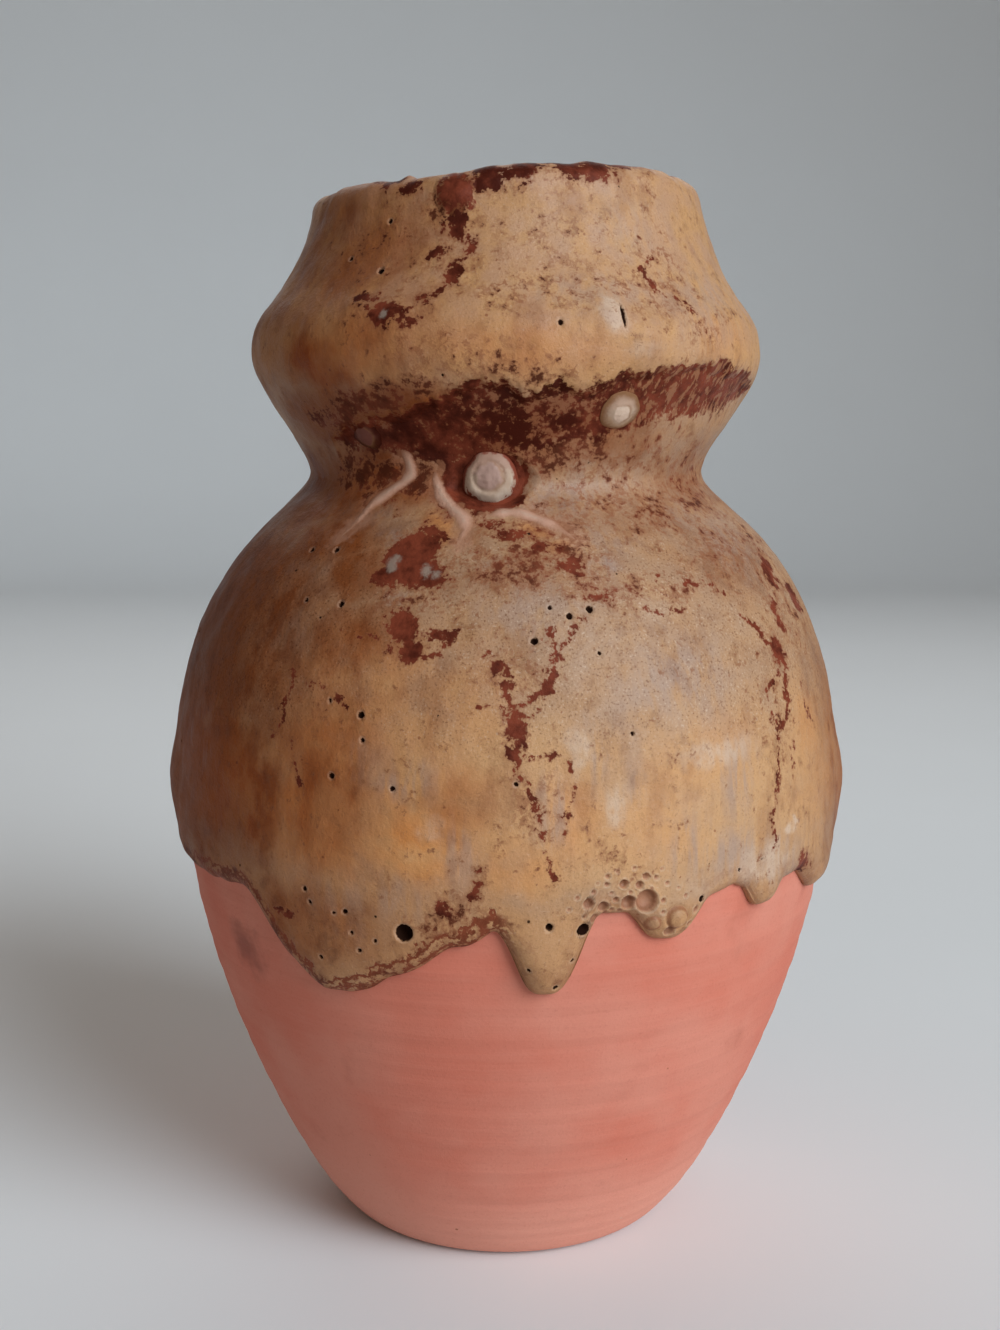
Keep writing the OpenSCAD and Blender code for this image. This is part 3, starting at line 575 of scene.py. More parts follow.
class Places:
    """Places on the coat, by angle and length, with the clay under them."""

    def __init__(self, angle, s):
        self.angle, self.s = angle, s
        self.r, self.z = COAT.at(s)[:2]
        self.clay = spun(angle, self.r, self.z) * FACING
        self.outer = s > CREST_S - 3
        self.shifts = None

    def off(self, angle, z):
        """Distances to the right of and below a place on the outside."""
        return np.radians(turned(self.angle - angle)) * self.r, self.s - down_to(z)

    def off_ragged(self, angle, z):
        """Distances to the right of and below a place, bent by uneven shifts."""
        if self.shifts is None:
            self.shifts = [
                1.5 * noise(self.clay + far, 6.5) + 0.9 * noise(self.clay - far, 2.3) for far in (17.0, 53.0)
            ]
        return [gap + shift for gap, shift in zip(self.off(angle, z), self.shifts)]

    def spots(self, marks):
        """Strength of the strongest of some soft ovals."""
        level = np.zeros_like(self.s)
        for angle, z, wide, high, strength in marks:
            across, down = self.off_ragged(angle, z)
            q = (across / wide) ** 2 + (down / high) ** 2
            level = np.maximum(level, strength / (1 + q * q))
        return level * self.outer

    def inside_ovals(self, ovals, ragged=False):
        """Depth in millimetres inside the nearest of some ovals, negative outside them."""
        depth = np.full(self.s.shape, -FAR)
        for angle, z, wide, high in ovals:
            across, down = self.off_ragged(angle, z) if ragged else self.off(angle, z)
            scale = min(wide, high) if ragged else wide
            depth = np.maximum(depth, (1 - np.hypot(across / wide, down / high)) * scale)
        return np.where(self.outer, depth, -FAR)

    def inside_lines(self, lines):
        """Depth in millimetres inside the nearest of some lines, negative outside them."""
        depth = np.full(self.s.shape, -FAR)
        for points, width in lines:
            start = points[0]
            across, down = self.off_ragged(*start)
            near = (np.abs(across) < LINE_REACH) & (np.abs(down) < LINE_REACH)
            here = np.stack([across[near], down[near]], axis=-1)
            angle, z = np.array(points, float).T
            right = np.radians(angle - start[0]) * COAT.at(down_to(z))[0]
            line = np.column_stack([right, down_to(z) - down_to(start[1])])
            gap = np.full(len(here), FAR + width)
            for a, b in zip(line[:-1], line[1:]):
                t = np.clip((here - a) @ (b - a) / ((b - a) @ (b - a)), 0, 1)[:, None]
                gap = np.minimum(gap, np.linalg.norm(here - a - t * (b - a), axis=1))
            depth[near] = np.maximum(depth[near], width - gap)
        return np.where(self.outer, depth, -FAR)

    def band(self):
        """Distance inside the upper and the lower edge of the red band."""
        angle = turned(self.angle)
        top, bottom = np.array(BAND_TOP).T, np.array(BAND_BOTTOM).T
        inside = (angle > top[0][0]) & (angle < top[0][-1]) & self.outer
        below_top = np.interp(angle, *top) - self.z
        below_top += 0.9 * noise(self.clay, 5.0) + 0.9 * noise(self.clay * (1, 1, 0.4), 1.6)
        above_bottom = self.z - np.interp(angle, *bottom) + 1.2 * noise(self.clay + 8, 9.0)
        return np.where(inside, below_top, -OFF_BAND), np.where(inside, above_bottom, -OFF_BAND)


def glaze_thickness(places):
    """Thickness of the lava glaze over the clay, with its lumps, pits and froth."""
    clay = places.clay
    share = np.clip((NECK_Z - places.z) / (NECK_Z - BELLY_Z), 0, 1)
    t = BASE_T + LAVA_TOP_T + (LAVA_DRIP_T - LAVA_TOP_T) * share
    for rise, size, shift in LUMPS:
        t += rise * noise(clay + shift, size)
    t += 0.05 * noise(clay * (1, 1, 0.2) + 70, 3.0) * places.outer
    t += 0.45 * noise(clay + 25, 5.5) * hump(places.s, CREST_S, 7)
    for angle, z, wide, high, rise in SWELLS:
        across, down = places.off(angle, z)
        t += rise * hump(across, 0, wide) * hump(down, 0, high) * places.outer

    below_top, above_bottom = places.band()
    bare = smooth(below_top, -1.4, 3.8) * smooth(above_bottom, -6.0, 4.5)
    halo = np.hypot(*places.off(*BEAD_FRONT)) + 0.8 * noise(clay, 4.0)
    bare = np.maximum(bare, 1 - smooth(halo, 5.9, 9.8)) * places.outer
    t = t + bare * (BARE_T - t)

    for marks, depth, rim, rim_at, rim_width in BUBBLES:
        for angle, z, wide, high in marks:
            across, down = places.off(angle, z)
            q = np.hypot(across / wide, down / high)
            bowl = np.sqrt(np.clip(1 - q * q, 0, 1))
            t += (rim(wide) * hump(q, rim_at, rim_width) - depth(wide) * bowl) * places.outer
    return t


def glaze_fields(places, edge_gap=EDGE_FAR):
    """Fields that the glaze material draws its marks from; edge_gap is the distance to the drip edge."""
    below_top, above_bottom = places.band()
    angle = turned(places.angle)
    fired = smooth(angle, 36, 6) * (1 - 0.45 * smooth(angle, 4, -14)) * smooth(angle, -60, -46)
    fields = {
        "spot": places.inside_ovals(RED_SPOTS, ragged=True),
        "vein": places.inside_lines(RED_VEINS),
        "wash": places.inside_lines([(trail, TRAIL_W / 2) for trail in TRAILS]),
        "band": np.clip(np.minimum(below_top, above_bottom / 1.6), -FAR, FAR),
        "open": 0.28 + 0.22 * smooth(angle, -16, 0) - 0.04 * smooth(angle, 22, 48),
        "comb": smooth(angle, 16, 38) * smooth(below_top, -4, 0) * smooth(above_bottom, -9, 0),
        "fired": fired * smooth(above_bottom, -14, 2),
        "edge": np.minimum(edge_gap, 3 * FAR) + 0 * places.s,
        "lobe": smooth(angle, -78, -64) * smooth(angle, 3, -3),
    }
    fields.update({name: places.spots(marks) for name, marks in SOFT_MARKS.items()})
    fields.update({name: places.inside_ovals(marks) for name, marks in ROUND_MARKS.items()})
    return fields


# Meshes


def linked(name, data):
    """An object of the scene."""
    made = bpy.data.objects.new(name, data)
    bpy.context.scene.collection.objects.link(made)
    return made


def grid_piece(name, points, fields=None, loop=False):
    """A closed piece from rows and columns of points; the rows close on themselves or get end caps."""
    rows, columns = points.shape[:2]
    index = np.arange(rows * columns).reshape(rows, columns)
    above = index if loop else index[:-1]
    below = np.roll(index, -1, axis=0) if loop else index[1:]
    quads = np.stack([above, below, np.roll(below, -1, 1), np.roll(above, -1, 1)], axis=-1).reshape(-1, 4)
    i, j = np.divmod(np.arange(len(quads)), columns)
    u = np.stack([j, j, j + 1, j + 1], axis=-1) / columns
    v = np.stack([i, i + 1, i + 1, i], axis=-1) / (rows if loop else rows - 1)
    maps = np.stack([u, v], axis=-1)
    caps = [] if loop else [index[0], index[-1][::-1]]

    flat = points.reshape(-1, 3)
    a, b, c, d = (flat[quads[:, k]] for k in range(4))
    if (np.cross(a, b) * c).sum() + (np.cross(a, c) * d).sum() < 0:
        quads, maps, caps = quads[:, ::-1], maps[:, ::-1], [cap[::-1] for cap in caps]
    cap_maps = [np.full((columns, 2), float(k)) for k in range(len(caps))]

    mesh = bpy.data.meshes.new(name)
    mesh.from_pydata(flat.tolist(), [], quads.tolist() + [cap.tolist() for cap in caps])
    mesh.shade_smooth()
    corners = np.concatenate([maps.reshape(-1, 2), *cap_maps])
    mesh.uv_layers.new(name="OFBake").data.foreach_set("uv", corners.ravel().astype(np.float32))
    for field, values in (fields or {}).items():
        layer = mesh.attributes.new(field, "FLOAT", "POINT")
        layer.data.foreach_set("value", np.asarray(values, np.float32).ravel())
    return linked(name, mesh)


def shell(name, outer, under, fields, blank=np.min, loop=True):
    """A closed piece from an outer surface and its underside, which gets blank fields."""
    hidden = under.shape[:2]
    fields = {key: np.concatenate([values, np.full(hidden, blank(values))]) for key, values in fields.items()}
    return grid_piece(name, np.concatenate([outer, under]), fields, loop)


def dress(piece, node, material):
    """Gives a piece its material, and its place in the frame in the stead of a solid."""
    piece.data.materials.append(material)
    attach(piece, "root")
    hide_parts(node)


def front_columns(dense, medium, wide):
    """Angles of mesh columns, close together at the front."""
    spans = ((-38, 38, dense), (38, 82, medium), (82, 278, wide), (278, 322, medium))
    return np.concatenate([np.arange(*span) for span in spans])


def edge_gaps(angles, s, edge_s):
    """Distance from grid points to the drip edge, over the surface."""
    x = np.radians(angles) * BELLY_R
    around = 2 * np.pi * BELLY_R
    gap = np.full(s.shape, np.inf)
    for shift in range(-EDGE_SEARCH, EDGE_SEARCH + 1):
        across = (np.roll(x, -shift) - x + around / 2) % around - around / 2
        gap = np.minimum(gap, np.hypot(across[None, :], s - np.roll(edge_s, -shift)[None, :]))
    return gap


def build_crust():
    """The lava glaze, rolled over at its drip edge and at its edge inside the mouth."""
    angles = front_columns(*CRUST_COLUMNS)
    edge_s = down_to(edge_height(angles))
    even_s = down_to(CRUST_LEVEL_Z)
    upper = np.linspace(0, even_s, CRUST_ROWS)[:, None]
    share = 1 - (1 - np.linspace(0, 1, CRUST_EDGE_ROWS)[1:, None]) ** 1.3
    s = np.concatenate([upper + 0 * edge_s, even_s + share * (edge_s - even_s)])
    places = Places(np.broadcast_to(angles, s.shape), s)
    thickness = glaze_thickness(places)
    gap = edge_gaps(angles, s, edge_s)
    gap[s < even_s] = EDGE_FAR
    fields = glaze_fields(places, gap)
    for distance in (gap, s):
        x = np.clip(distance / (1.1 * thickness + 0.5), 0, 1)
        thickness = thickness * np.sqrt(1 - (1 - x) ** 2)
    share = np.linspace(1, 0, CRUST_UNDER_ROWS)[:, None]
    under_s = share * (edge_s - 1.2) + (1 - share) * 0.6
    return shell("lava_crust", raised(angles, s, thickness), raised(angles, under_s, CRUST_SEAT), fields)


def build_red_coat():
    """The thin red base glaze, seen in the neck band and the halo of the large bead."""
    angles = front_columns(*RED_COLUMNS)
    edge_s = down_to(edge_height(angles)) - RED_BEHIND
    s = RED_START + np.linspace(0, 1, RED_ROWS)[:, None] * (edge_s - RED_START)
    places = Places(np.broadcast_to(angles, s.shape), s)
    t = BASE_T + 0.10 * noise(places.clay, 6.0) + 0.06 * noise(places.clay, 2.0)
    return shell("red_coat", raised(angles, s, t), raised(angles, s[::-2], THIN_SEAT), glaze_fields(places))


def build_clay():
    """The thrown body with faint throwing rings, its lip, its inside and its foot."""
    angles = np.linspace(-180, 180, CLAY_COLUMNS, endpoint=False)
    whole = Line(*joined(FOOT, OUTSIDE, LIP, INSIDE))
    seen = whole.lengths[len(FOOT[0]) - 1] + np.arange(-6, 100, 0.9)
    s = np.unique(np.concatenate([whole.lengths[::6], [whole.end], seen]))
    s = s[np.concatenate([[True], np.diff(s) > 0.2])]
    r, z, nr, nz = (column[:, None] for column in whole.at(s))
    rings = sum(rise * np.sin(z / size + start) for rise, size, start in THROWING_RINGS)
    rings *= (nr > 0.2) & (z > HEEL_Z) & (z < BARE_CLAY_Z)
    surface = spun(angles, r, z)
    soft = 0.10 * noise(surface, 14.0) * ((nr > 0.2) & (z > 3) & (z < BARE_CLAY_Z))
    lift = rings * (0.7 + 0.3 * noise(surface, 30.0)) + soft
    return grid_piece("clay_body", placed(angles, r + lift * nr, z + lift * nz))


def build_liner():
    """The glaze that seals the inside."""
    angles = np.linspace(-180, 180, LINER_COLUMNS, endpoint=False)
    line = Line(*INSIDE)
    start = line.lengths[len(MOUTH_INSIDE[0]) - 1] - 0.4
    s = np.linspace(start, line.end, LINER_ROWS)
    r, z, nr, nz = line.at(s)
    t = np.concatenate([LINER_T * np.minimum(1, 0.3 + (s - start) / 2), np.full(len(s), THIN_SEAT)])
    r, z, nr, nz = (np.concatenate([column, column[::-1]]) for column in (r, z, nr, nz))
    r, z = (r + t * nr)[:, None], (z + t * nz)[:, None]
    swell = np.where(np.arange(len(r)) < len(s), 0.18, 0)[:, None] * noise(spun(angles, r, z), 16.0)
    return grid_piece("inner_glaze", placed(angles, r - swell * (r > 3), z), loop=True)


def fan(radius, outline, shares, spokes):
    """Directions of spokes from a middle, and distances to the right and upwards along them."""
    way = np.linspace(0, 2 * np.pi, spokes, endpoint=False)
    reach = radius * outline(way)
    return way, shares * (reach * np.cos(way)), shares * (reach * np.sin(way))


def build_bead(name, place, radius, profile, outline, middle=(0.0, 0.0)):
    """A bead of glaze on a flat seat, that sinks into the coat at its edge.

    The profile gives its height by share of its radius, from its centre and from its middle patch,
    and the outline gives its radius by direction.
    """
    shares = np.concatenate([[0.004], np.linspace(0.04, 1, BEAD_RINGS) ** 0.8])[:, None]
    way, across, up = fan(radius, outline, shares, BEAD_SPOKES)
    from_middle = np.hypot(across - middle[0], up - middle[1]) / radius
    ripple = np.stack([across, up, 0 * up], axis=-1)
    height = profile(shares, from_middle) * (1 + 0.07 * noise(ripple + 31, 2.4))
    height += 0.07 * noise(ripple + 12, 1.1) * (1 - shares**4)
    seat, right, above, out = seat_frame(place, BASE_T)
    flat = MM * (across[..., None] * right + up[..., None] * above)
    fields = {
        "share": shares + smooth(shares, 0.93, 1.0) + 0 * up,
        "middle": from_middle,
        "aside": np.cos(way) + 0 * up,
        "falls": -np.sin(way) + 0 * up,
    }
    top = seat + flat + MM * height[..., None] * out
    return shell(name, top, seat + 0.9 * flat[UNDER_ROWS] - 3 * MM * out, fields, np.max, loop=False)


def build_drop(name, place, radius, out, outline):
    """A drop of glaze that runs out into the coat round it."""
    shares = np.concatenate([[0.004], np.linspace(0.04, 1, DROP_RINGS)])[:, None]
    _, across, up = fan(radius, outline, shares, DROP_SPOKES)
    places = Places(*beside(place, across, up))
    seat = glaze_thickness(places)
    height = out * (1.06 * np.cos(shares * np.pi / 2) ** 1.2 - 0.06) * (1 + 0.25 * noise(places.clay, 3.0))
    low = beside(place, 0.97 * across[UNDER_ROWS], 0.97 * up[UNDER_ROWS])
    fields = {"share": shares + 0 * up, **glaze_fields(places)}
    top = raised(places.angle, places.s, seat + height)
    return shell(name, top, raised(*low, seat[UNDER_ROWS] - SUNK), fields, np.max, loop=False)


def rounded(out, power):
    """Dome profile of a bead."""
    return lambda share, middle: out * np.maximum(1 - share**power, 0)


def eye(out):
    """Profile of the large bead: a raised middle in a groove, inside a flat ring."""

    def profile(share, middle):
        dome = out * np.maximum(1 - share**3.2, 0) ** 0.6
        return dome - 0.24 * hump(middle, 0.54, 0.085) + 0.25 * smooth(middle, 0.5, 0.0)

    return profile


def wobbly(seed, wobble, tall=1.0):
    """Outline of a bead that isn't quite round."""
    draw = np.random.default_rng(seed)
    phase = draw.uniform(0, 2 * np.pi, 12)

    def outline(way):
        reach = 1 + sum(wobble / k * np.sin(k * way + phase[k]) for k in range(2, 12))
        return reach * (1 + (tall - 1) * np.sin(way) ** 2)

    return outline


def build_trail(name, points):
    """A low trail of glaze that runs out into the lava glaze on either side."""
    points = np.array(points, float)
    t = np.linspace(0, len(points) - 1, TRAIL_STEPS)
    path = np.column_stack([np.interp(t, np.arange(len(points)), column) for column in points.T])
    for _ in range(TRAIL_SOFTENING):
        path[1:-1] = (path[:-2] + 2 * path[1:-1] + path[2:]) / 4
    place = points[0]
    s = down_to(path[:, 1])
    across = np.radians(path[:, 0] - place[0]) * COAT.at(s)[0]
    up = down_to(place[1]) - s
    way = np.column_stack([np.gradient(across), np.gradient(up)])
    way /= np.linalg.norm(way, axis=1, keepdims=True)
    share = (t / t[-1])[:, None]
    body = smooth(share, -0.02, 0.20) * smooth(share, 1.02, 0.50)
    wave = 1 + 0.22 * np.sin(share * 15 + len(points)) * np.sin(share * 6 + 1)
    half = TRAIL_W * (0.20 + 0.80 * np.sqrt(body)) * wave

    side = np.concatenate([np.linspace(1, -1, TRAIL_TOP), np.linspace(-0.9, 0.9, TRAIL_UNDER)])
    top = np.arange(len(side)) < TRAIL_TOP
    swell = np.cos(side * np.pi / 2) ** 2
    right = across[:, None] - way[:, 1:] * side * half
    places = Places(*beside(place, right, up[:, None] + way[:, :1] * side * half))
    lift = np.where(top, (TRAIL_OUT * body * wave + 0.05) * swell - 0.05, -SUNK)
    fields = {"crown": np.where(top, swell, 0) * (0.25 + 0.75 * body), **glaze_fields(places)}
    return grid_piece(name, raised(places.angle, places.s, glaze_thickness(places) + lift), fields)


# Materials


class Shader:
    """A procedural material that is painted in layers, with short calls for its nodes."""

    def __init__(self, name):
        self.material = bpy.data.materials.new(name)
        self.material.use_nodes = True
        self.tree = self.material.node_tree
        self.surface = self.tree.nodes["Principled BSDF"]
        self.position = self.node("ShaderNodeTexCoord", {}).outputs["Object"]
        self.colour = None

    def put(self, socket, value):
        """Sets an input, or links an output to it."""
        if isinstance(value, bpy.types.NodeSocket):
            self.tree.links.new(value, socket)
        elif isinstance(value, tuple) and socket.type == "RGBA":
            socket.default_value = (*value, 1)
        else:
            socket.default_value = value

    def node(self, kind, inputs, **settings):
        """Adds a node with its settings and inputs."""
        made = self.tree.nodes.new(kind)
        for name, value in settings.items():
            setattr(made, name, value)
        for name, value in inputs.items():
            self.put(made.inputs[name], value)
        return made

    def field(self, name):
        """Reads a field of the mesh."""
        return self.node("ShaderNodeAttribute", {}, attribute_name=name).outputs["Fac"]

    def calc(self, operation, *values):
        """Arithmetic on values, from the first to the last."""

        def pair(a, b):
            return self.node("ShaderNodeMath", {0: a, 1: b}, operation=operation).outputs[0]

        return reduce(pair, values)

    def add(self, *values):
        """Sum of values."""
        return self.calc("ADD", *values)

    def times(self, *values):
        """Product of values."""
        return self.calc("MULTIPLY", *values)

    def most(self, *values):
        """Greatest of values."""
        return self.calc("MAXIMUM", *values)

    def sway(self, cloud, reach):
        """A random field turned into a swing about zero."""
        return self.times(self.calc("SUBTRACT", cloud, 0.5), reach)

    def ramp(self, value, low, high, start=0.0, end=1.0):
        """Rises softly from start at low to end at high."""
        inputs = {"Value": value, "From Min": low, "From Max": high, "To Min": start, "To Max": end}
        return self.node("ShaderNodeMapRange", inputs, interpolation_type="SMOOTHSTEP").outputs["Result"]

    def blend(self, share, a, b, mode="MIX"):
        """Colour a turning into colour b."""
        inputs = {0: share, 6: a, 7: b}
        return self.node("ShaderNodeMix", inputs, data_type="RGBA", blend_type=mode).outputs[2]

    def paint(self, tint, *shares, mode="MIX"):
        """Covers the colour so far with a tint, by the product of some shares."""
        self.colour = self.blend(self.times(*shares), self.colour, tint, mode)

    def vector(self, operation, a, b):
        """Arithmetic on two places."""
        return self.node("ShaderNodeVectorMath", {0: a, 1: b}, operation=operation).outputs[0]

    def cloud(self, size, detail=4.0, stretch=1.0, shift=0.0, rough=0.55):
        """Random field from 0 to 1 with blots of a size in millimetres, stretched upwards."""
        place = self.vector("ADD", self.position, (shift,) * 3)
        place = self.vector("MULTIPLY", place, (1, 1, 1 / stretch))
        inputs = {"Vector": place, "Scale": 1 / (size * MM), "Detail": detail, "Roughness": rough}
        return self.node("ShaderNodeTexNoise", inputs).outputs["Fac"]

    def cells(self, spacing, scale, detail, reach, **settings):
        """Uneven cells, their places pushed about by a random field, by a reach in millimetres."""
        push = self.node("ShaderNodeTexNoise", {"Vector": self.position, "Scale": scale, "Detail": detail})
        push = self.vector("SUBTRACT", push.outputs["Color"], (0.5,) * 3)
        place = self.vector("ADD", self.position, self.vector("MULTIPLY", push, (reach * MM,) * 3))
        inputs = {"Vector": place, "Scale": 1 / (spacing * MM)}
        return self.node("ShaderNodeTexVoronoi", inputs, **settings).outputs

    def dots(self, spacing, radius, share):
        """Uneven small dots of a radius in millimetres, in a share of the cells."""
        cells = self.cells(spacing, 1.1 / (radius * MM), 2.0, 1.6 * radius)
        draw = self.node("ShaderNodeSeparateColor", {"Color": cells["Color"]}).outputs
        size = self.ramp(draw[1], 0, 1, 0.45 * radius / spacing, 1.3 * radius / spacing)
        dot = self.ramp(self.calc("DIVIDE", cells["Distance"], size), 1.1, 0.7)
        return self.times(dot, self.ramp(draw[0], 1 - share, 1.02 - share))

    def cracks(self, spacing, width):
        """Uneven cell outlines, with widths in millimetres."""
        cells = self.cells(spacing, 3 / (spacing * MM), 3.0, 0.9 * spacing, feature="DISTANCE_TO_EDGE")
        return self.ramp(cells["Distance"], width / spacing, 0.3 * width / spacing)

    def height(self):
        """Height above the standing plane in millimetres."""
        z = self.node("ShaderNodeSeparateXYZ", {"Vector": self.position}).outputs["Z"]
        return self.calc("DIVIDE", z, MM)

    def relief(self, height, depth, strength):
        """Fine relief of a depth in millimetres."""
        inputs = {"Height": height, "Distance": depth * MM, "Strength": strength}
        self.put(self.surface.inputs["Normal"], self.node("ShaderNodeBump", inputs).outputs["Normal"])

    def finish(self, roughness, shine=0.5):
        """Sets the surface."""
        self.put(self.surface.inputs["Base Color"], self.colour)
        self.put(self.surface.inputs["Roughness"], roughness)
        self.put(self.surface.inputs["Specular IOR Level"], shine)
        return self.material


def glaze_material(name, cover=None):
    """Lava glaze: ochre and tan, breaking to red, with orange, grey and pale runs, painted sheen among the
    pale runs, and painted shade in its burnt areas, pits, froth and along its drip edge.

    A cover paints over it, for a drop or a trail that runs out into the glaze.
    """
    m = Shader(name)
    blot = m.cloud(17, detail=3)
    patch = m.cloud(6.5, detail=5, shift=0.3)
    fleck = m.cloud(2.6, detail=5, shift=0.7, rough=0.6)
    fine = m.cloud(1.1, detail=4, shift=1.1, rough=0.65)
    sand = m.cloud(0.5, detail=2, shift=1.5)
    streak = m.cloud(2.4, detail=4, stretch=6, shift=1.9)

    glow = glaze_ground(m, blot, patch, fleck, streak)
    z = m.height()
    gritty = m.times(m.ramp(z, 118, 134), m.ramp(z, 172, 160))
    sandy = m.times(m.ramp(glow, 0.1, 0.7, 1, 0.35), m.ramp(gritty, 0, 1, 0.55, 1.35))
    m.paint(UMBER, sandy, m.ramp(sand, 0.56, 0.72, 0, 0.55))
    m.paint(CREAM, sandy, m.ramp(sand, 0.42, 0.26, 0, 0.45))
    marble = m.cloud(8, detail=4, stretch=1.6, shift=3.1, rough=0.6)
    m.paint(SMOKE, m.ramp(marble, 0.5, 0.66, 0, 0.55), mode="MULTIPLY")
    specks = m.ramp(m.add(m.times(fine, 0.6), m.times(fleck, 0.4)), 0.57, 0.63)
    specks = m.times(specks, m.ramp(m.add(blot, patch), 0.82, 1.12, 0.22, 0.65))
    m.paint(BROWN, specks)
    m.paint(RUST, m.dots(4, 0.3, 0.5), 0.75)
    # Browns the glaze in the burnt areas: partly burnt glaze, partly painted shade on the dim side and under
    # the collar
    burnt_and_shade = m.times(m.field("burnt_and_shade"), m.ramp(m.add(marble, blot), 0.8, 1.2, 0.8, 1.1))
    m.paint(BURNT_AND_SHADE, burnt_and_shade, mode="MULTIPLY")

    froth = m.add(m.field("froth"), m.sway(fine, 0.5))
    m.paint(FROTH_TAN, m.ramp(froth, -0.05, 0.2, 0, 0.8))
    # Painted highlight of cream round the rims of the froth bubbles
    m.paint(CREAM, m.ramp(froth, -0.45, -0.15), m.ramp(froth, 0.05, -0.1, 0, 0.25))
    # Painted shade of rust and umber deep inside the froth bubbles
    m.paint(RUST, m.ramp(froth, 0, 0.35, 0, 0.42))
    m.paint(UMBER, m.ramp(froth, 0.05, 0.4), m.ramp(froth, 1, 0.5, 0, 0.36))
    dome = m.add(m.field("dome"), m.sway(fine, 0.6))
    m.paint(RUST, m.ramp(dome, -0.35, 0), m.ramp(dome, 0.7, 0.1, 0, 0.7))

    wash = m.add(m.field("wash"), m.sway(patch, 7), m.sway(fleck, 5))
    red, rust_and_edge_shade = glaze_red(m, patch, fleck, fine)
    m.paint(TRAIL_PINK, m.ramp(wash, -2.2, 0.6, 0, 0.6))
    red = m.times(red, m.ramp(wash, -0.2, 0.5, 1, 0.3))
    ember = m.add(m.times(patch, 0.6), m.times(fleck, 0.4), m.times(m.field("fired"), 0.128))
    # Rust, together with painted shade along the drip edge
    m.paint(RUST, rust_and_edge_shade)
    m.paint(m.blend(m.ramp(ember, 0.42, 0.68), RED, DARK_RED), red)
    island = m.add(m.field("island"), m.sway(fleck, 2.5), m.sway(fine, 2))
    m.paint(ISLAND_GREY, m.ramp(island, -0.4, 0.8, 0, 0.75))

    pit = m.add(m.field("pit"), m.sway(fine, 0.6))
    pins = m.times(m.dots(6, 0.28, 0.4), 0.95)
    hollow_shade = m.most(m.ramp(pit, -0.08, 0.1), pins)
    m.paint(CREAM, m.ramp(pit, -0.55, -0.12), m.ramp(hollow_shade, 0.4, 0, 0, 0.18))
    if cover:
        red = m.most(red, cover(m, fleck, fine))
    # Painted shade that darkens the pits and the pinholes
    m.paint(HOLLOW_SHADE, hollow_shade)

    rough = m.ramp(patch, 0.3, 0.7, 0.44, 0.6)
    rough = m.add(rough, m.times(red, -0.08), m.times(glow, -0.1), m.times(hollow_shade, 0.3))
    relief = m.add(m.times(sand, 0.25), m.times(fine, 0.55), m.times(fleck, 0.6))
    relief = m.add(relief, m.times(red, -0.22), m.times(specks, -0.12), m.times(pins, -0.6))
    m.relief(relief, 0.38, 0.75)
    shine = m.times(m.ramp(hollow_shade, 1, 0), m.ramp(red, 0, 1, 0.28, 0.06), m.ramp(burnt_and_shade, 0.2, 1, 1, 0.45))
    return m.finish(rough, shine)


def glaze_ground(m, blot, patch, fleck, streak):
    """Paints the ground of the lava glaze by height, and gives its glow."""
    z = m.add(m.height(), m.sway(blot, 34))
    even = m.ramp(patch, 0.33, 0.67)
    m.colour = m.blend(m.ramp(z, 190, 200), m.blend(even, GREY_TAN, TAN), m.blend(even, PINK_TAN, OCHRE))
    m.paint(GOLD, m.ramp(z, 194, 201), m.ramp(z, 213, 205, 0, 0.4))
    belly = m.times(m.ramp(z, 95, 106), m.ramp(z, 136, 118))
    m.paint(GOLD, belly, 0.6)
    m.paint(KHAKI, m.ramp(z, 99, 90, 0, 0.7))
    m.paint(BROWN, m.ramp(m.add(fleck, patch), 1.05, 1.3, 0, 0.55))
    m.paint(BROWN, m.ramp(belly, 0, 1, 0.25, 0.8), m.ramp(streak, 0.48, 0.7, 0, 0.35))

    runs = m.add(m.times(streak, 0.4), patch, m.times(blot, 0.6))
    glow = m.times(m.field("glow"), m.ramp(runs, 0.75, 1.15, 0.4, 1))
    pale = m.times(m.field("pale"), m.ramp(m.add(streak, fleck), 0.7, 1.15, 0.4, 1))
    m.paint(m.blend(m.ramp(patch, 0.28, 0.92), ORANGE, GOLD), glow, 0.95)
    m.paint(LILAC_GREY, m.field("lilac"), m.ramp(streak, 0.36, 0.6), 0.9)
    # Cream of the pale marks: partly pale runs and chips, partly painted sheen on the right of the belly
    m.paint(CREAM, m.ramp(pale, 0.1, 1, 0, 0.8))
    return glow


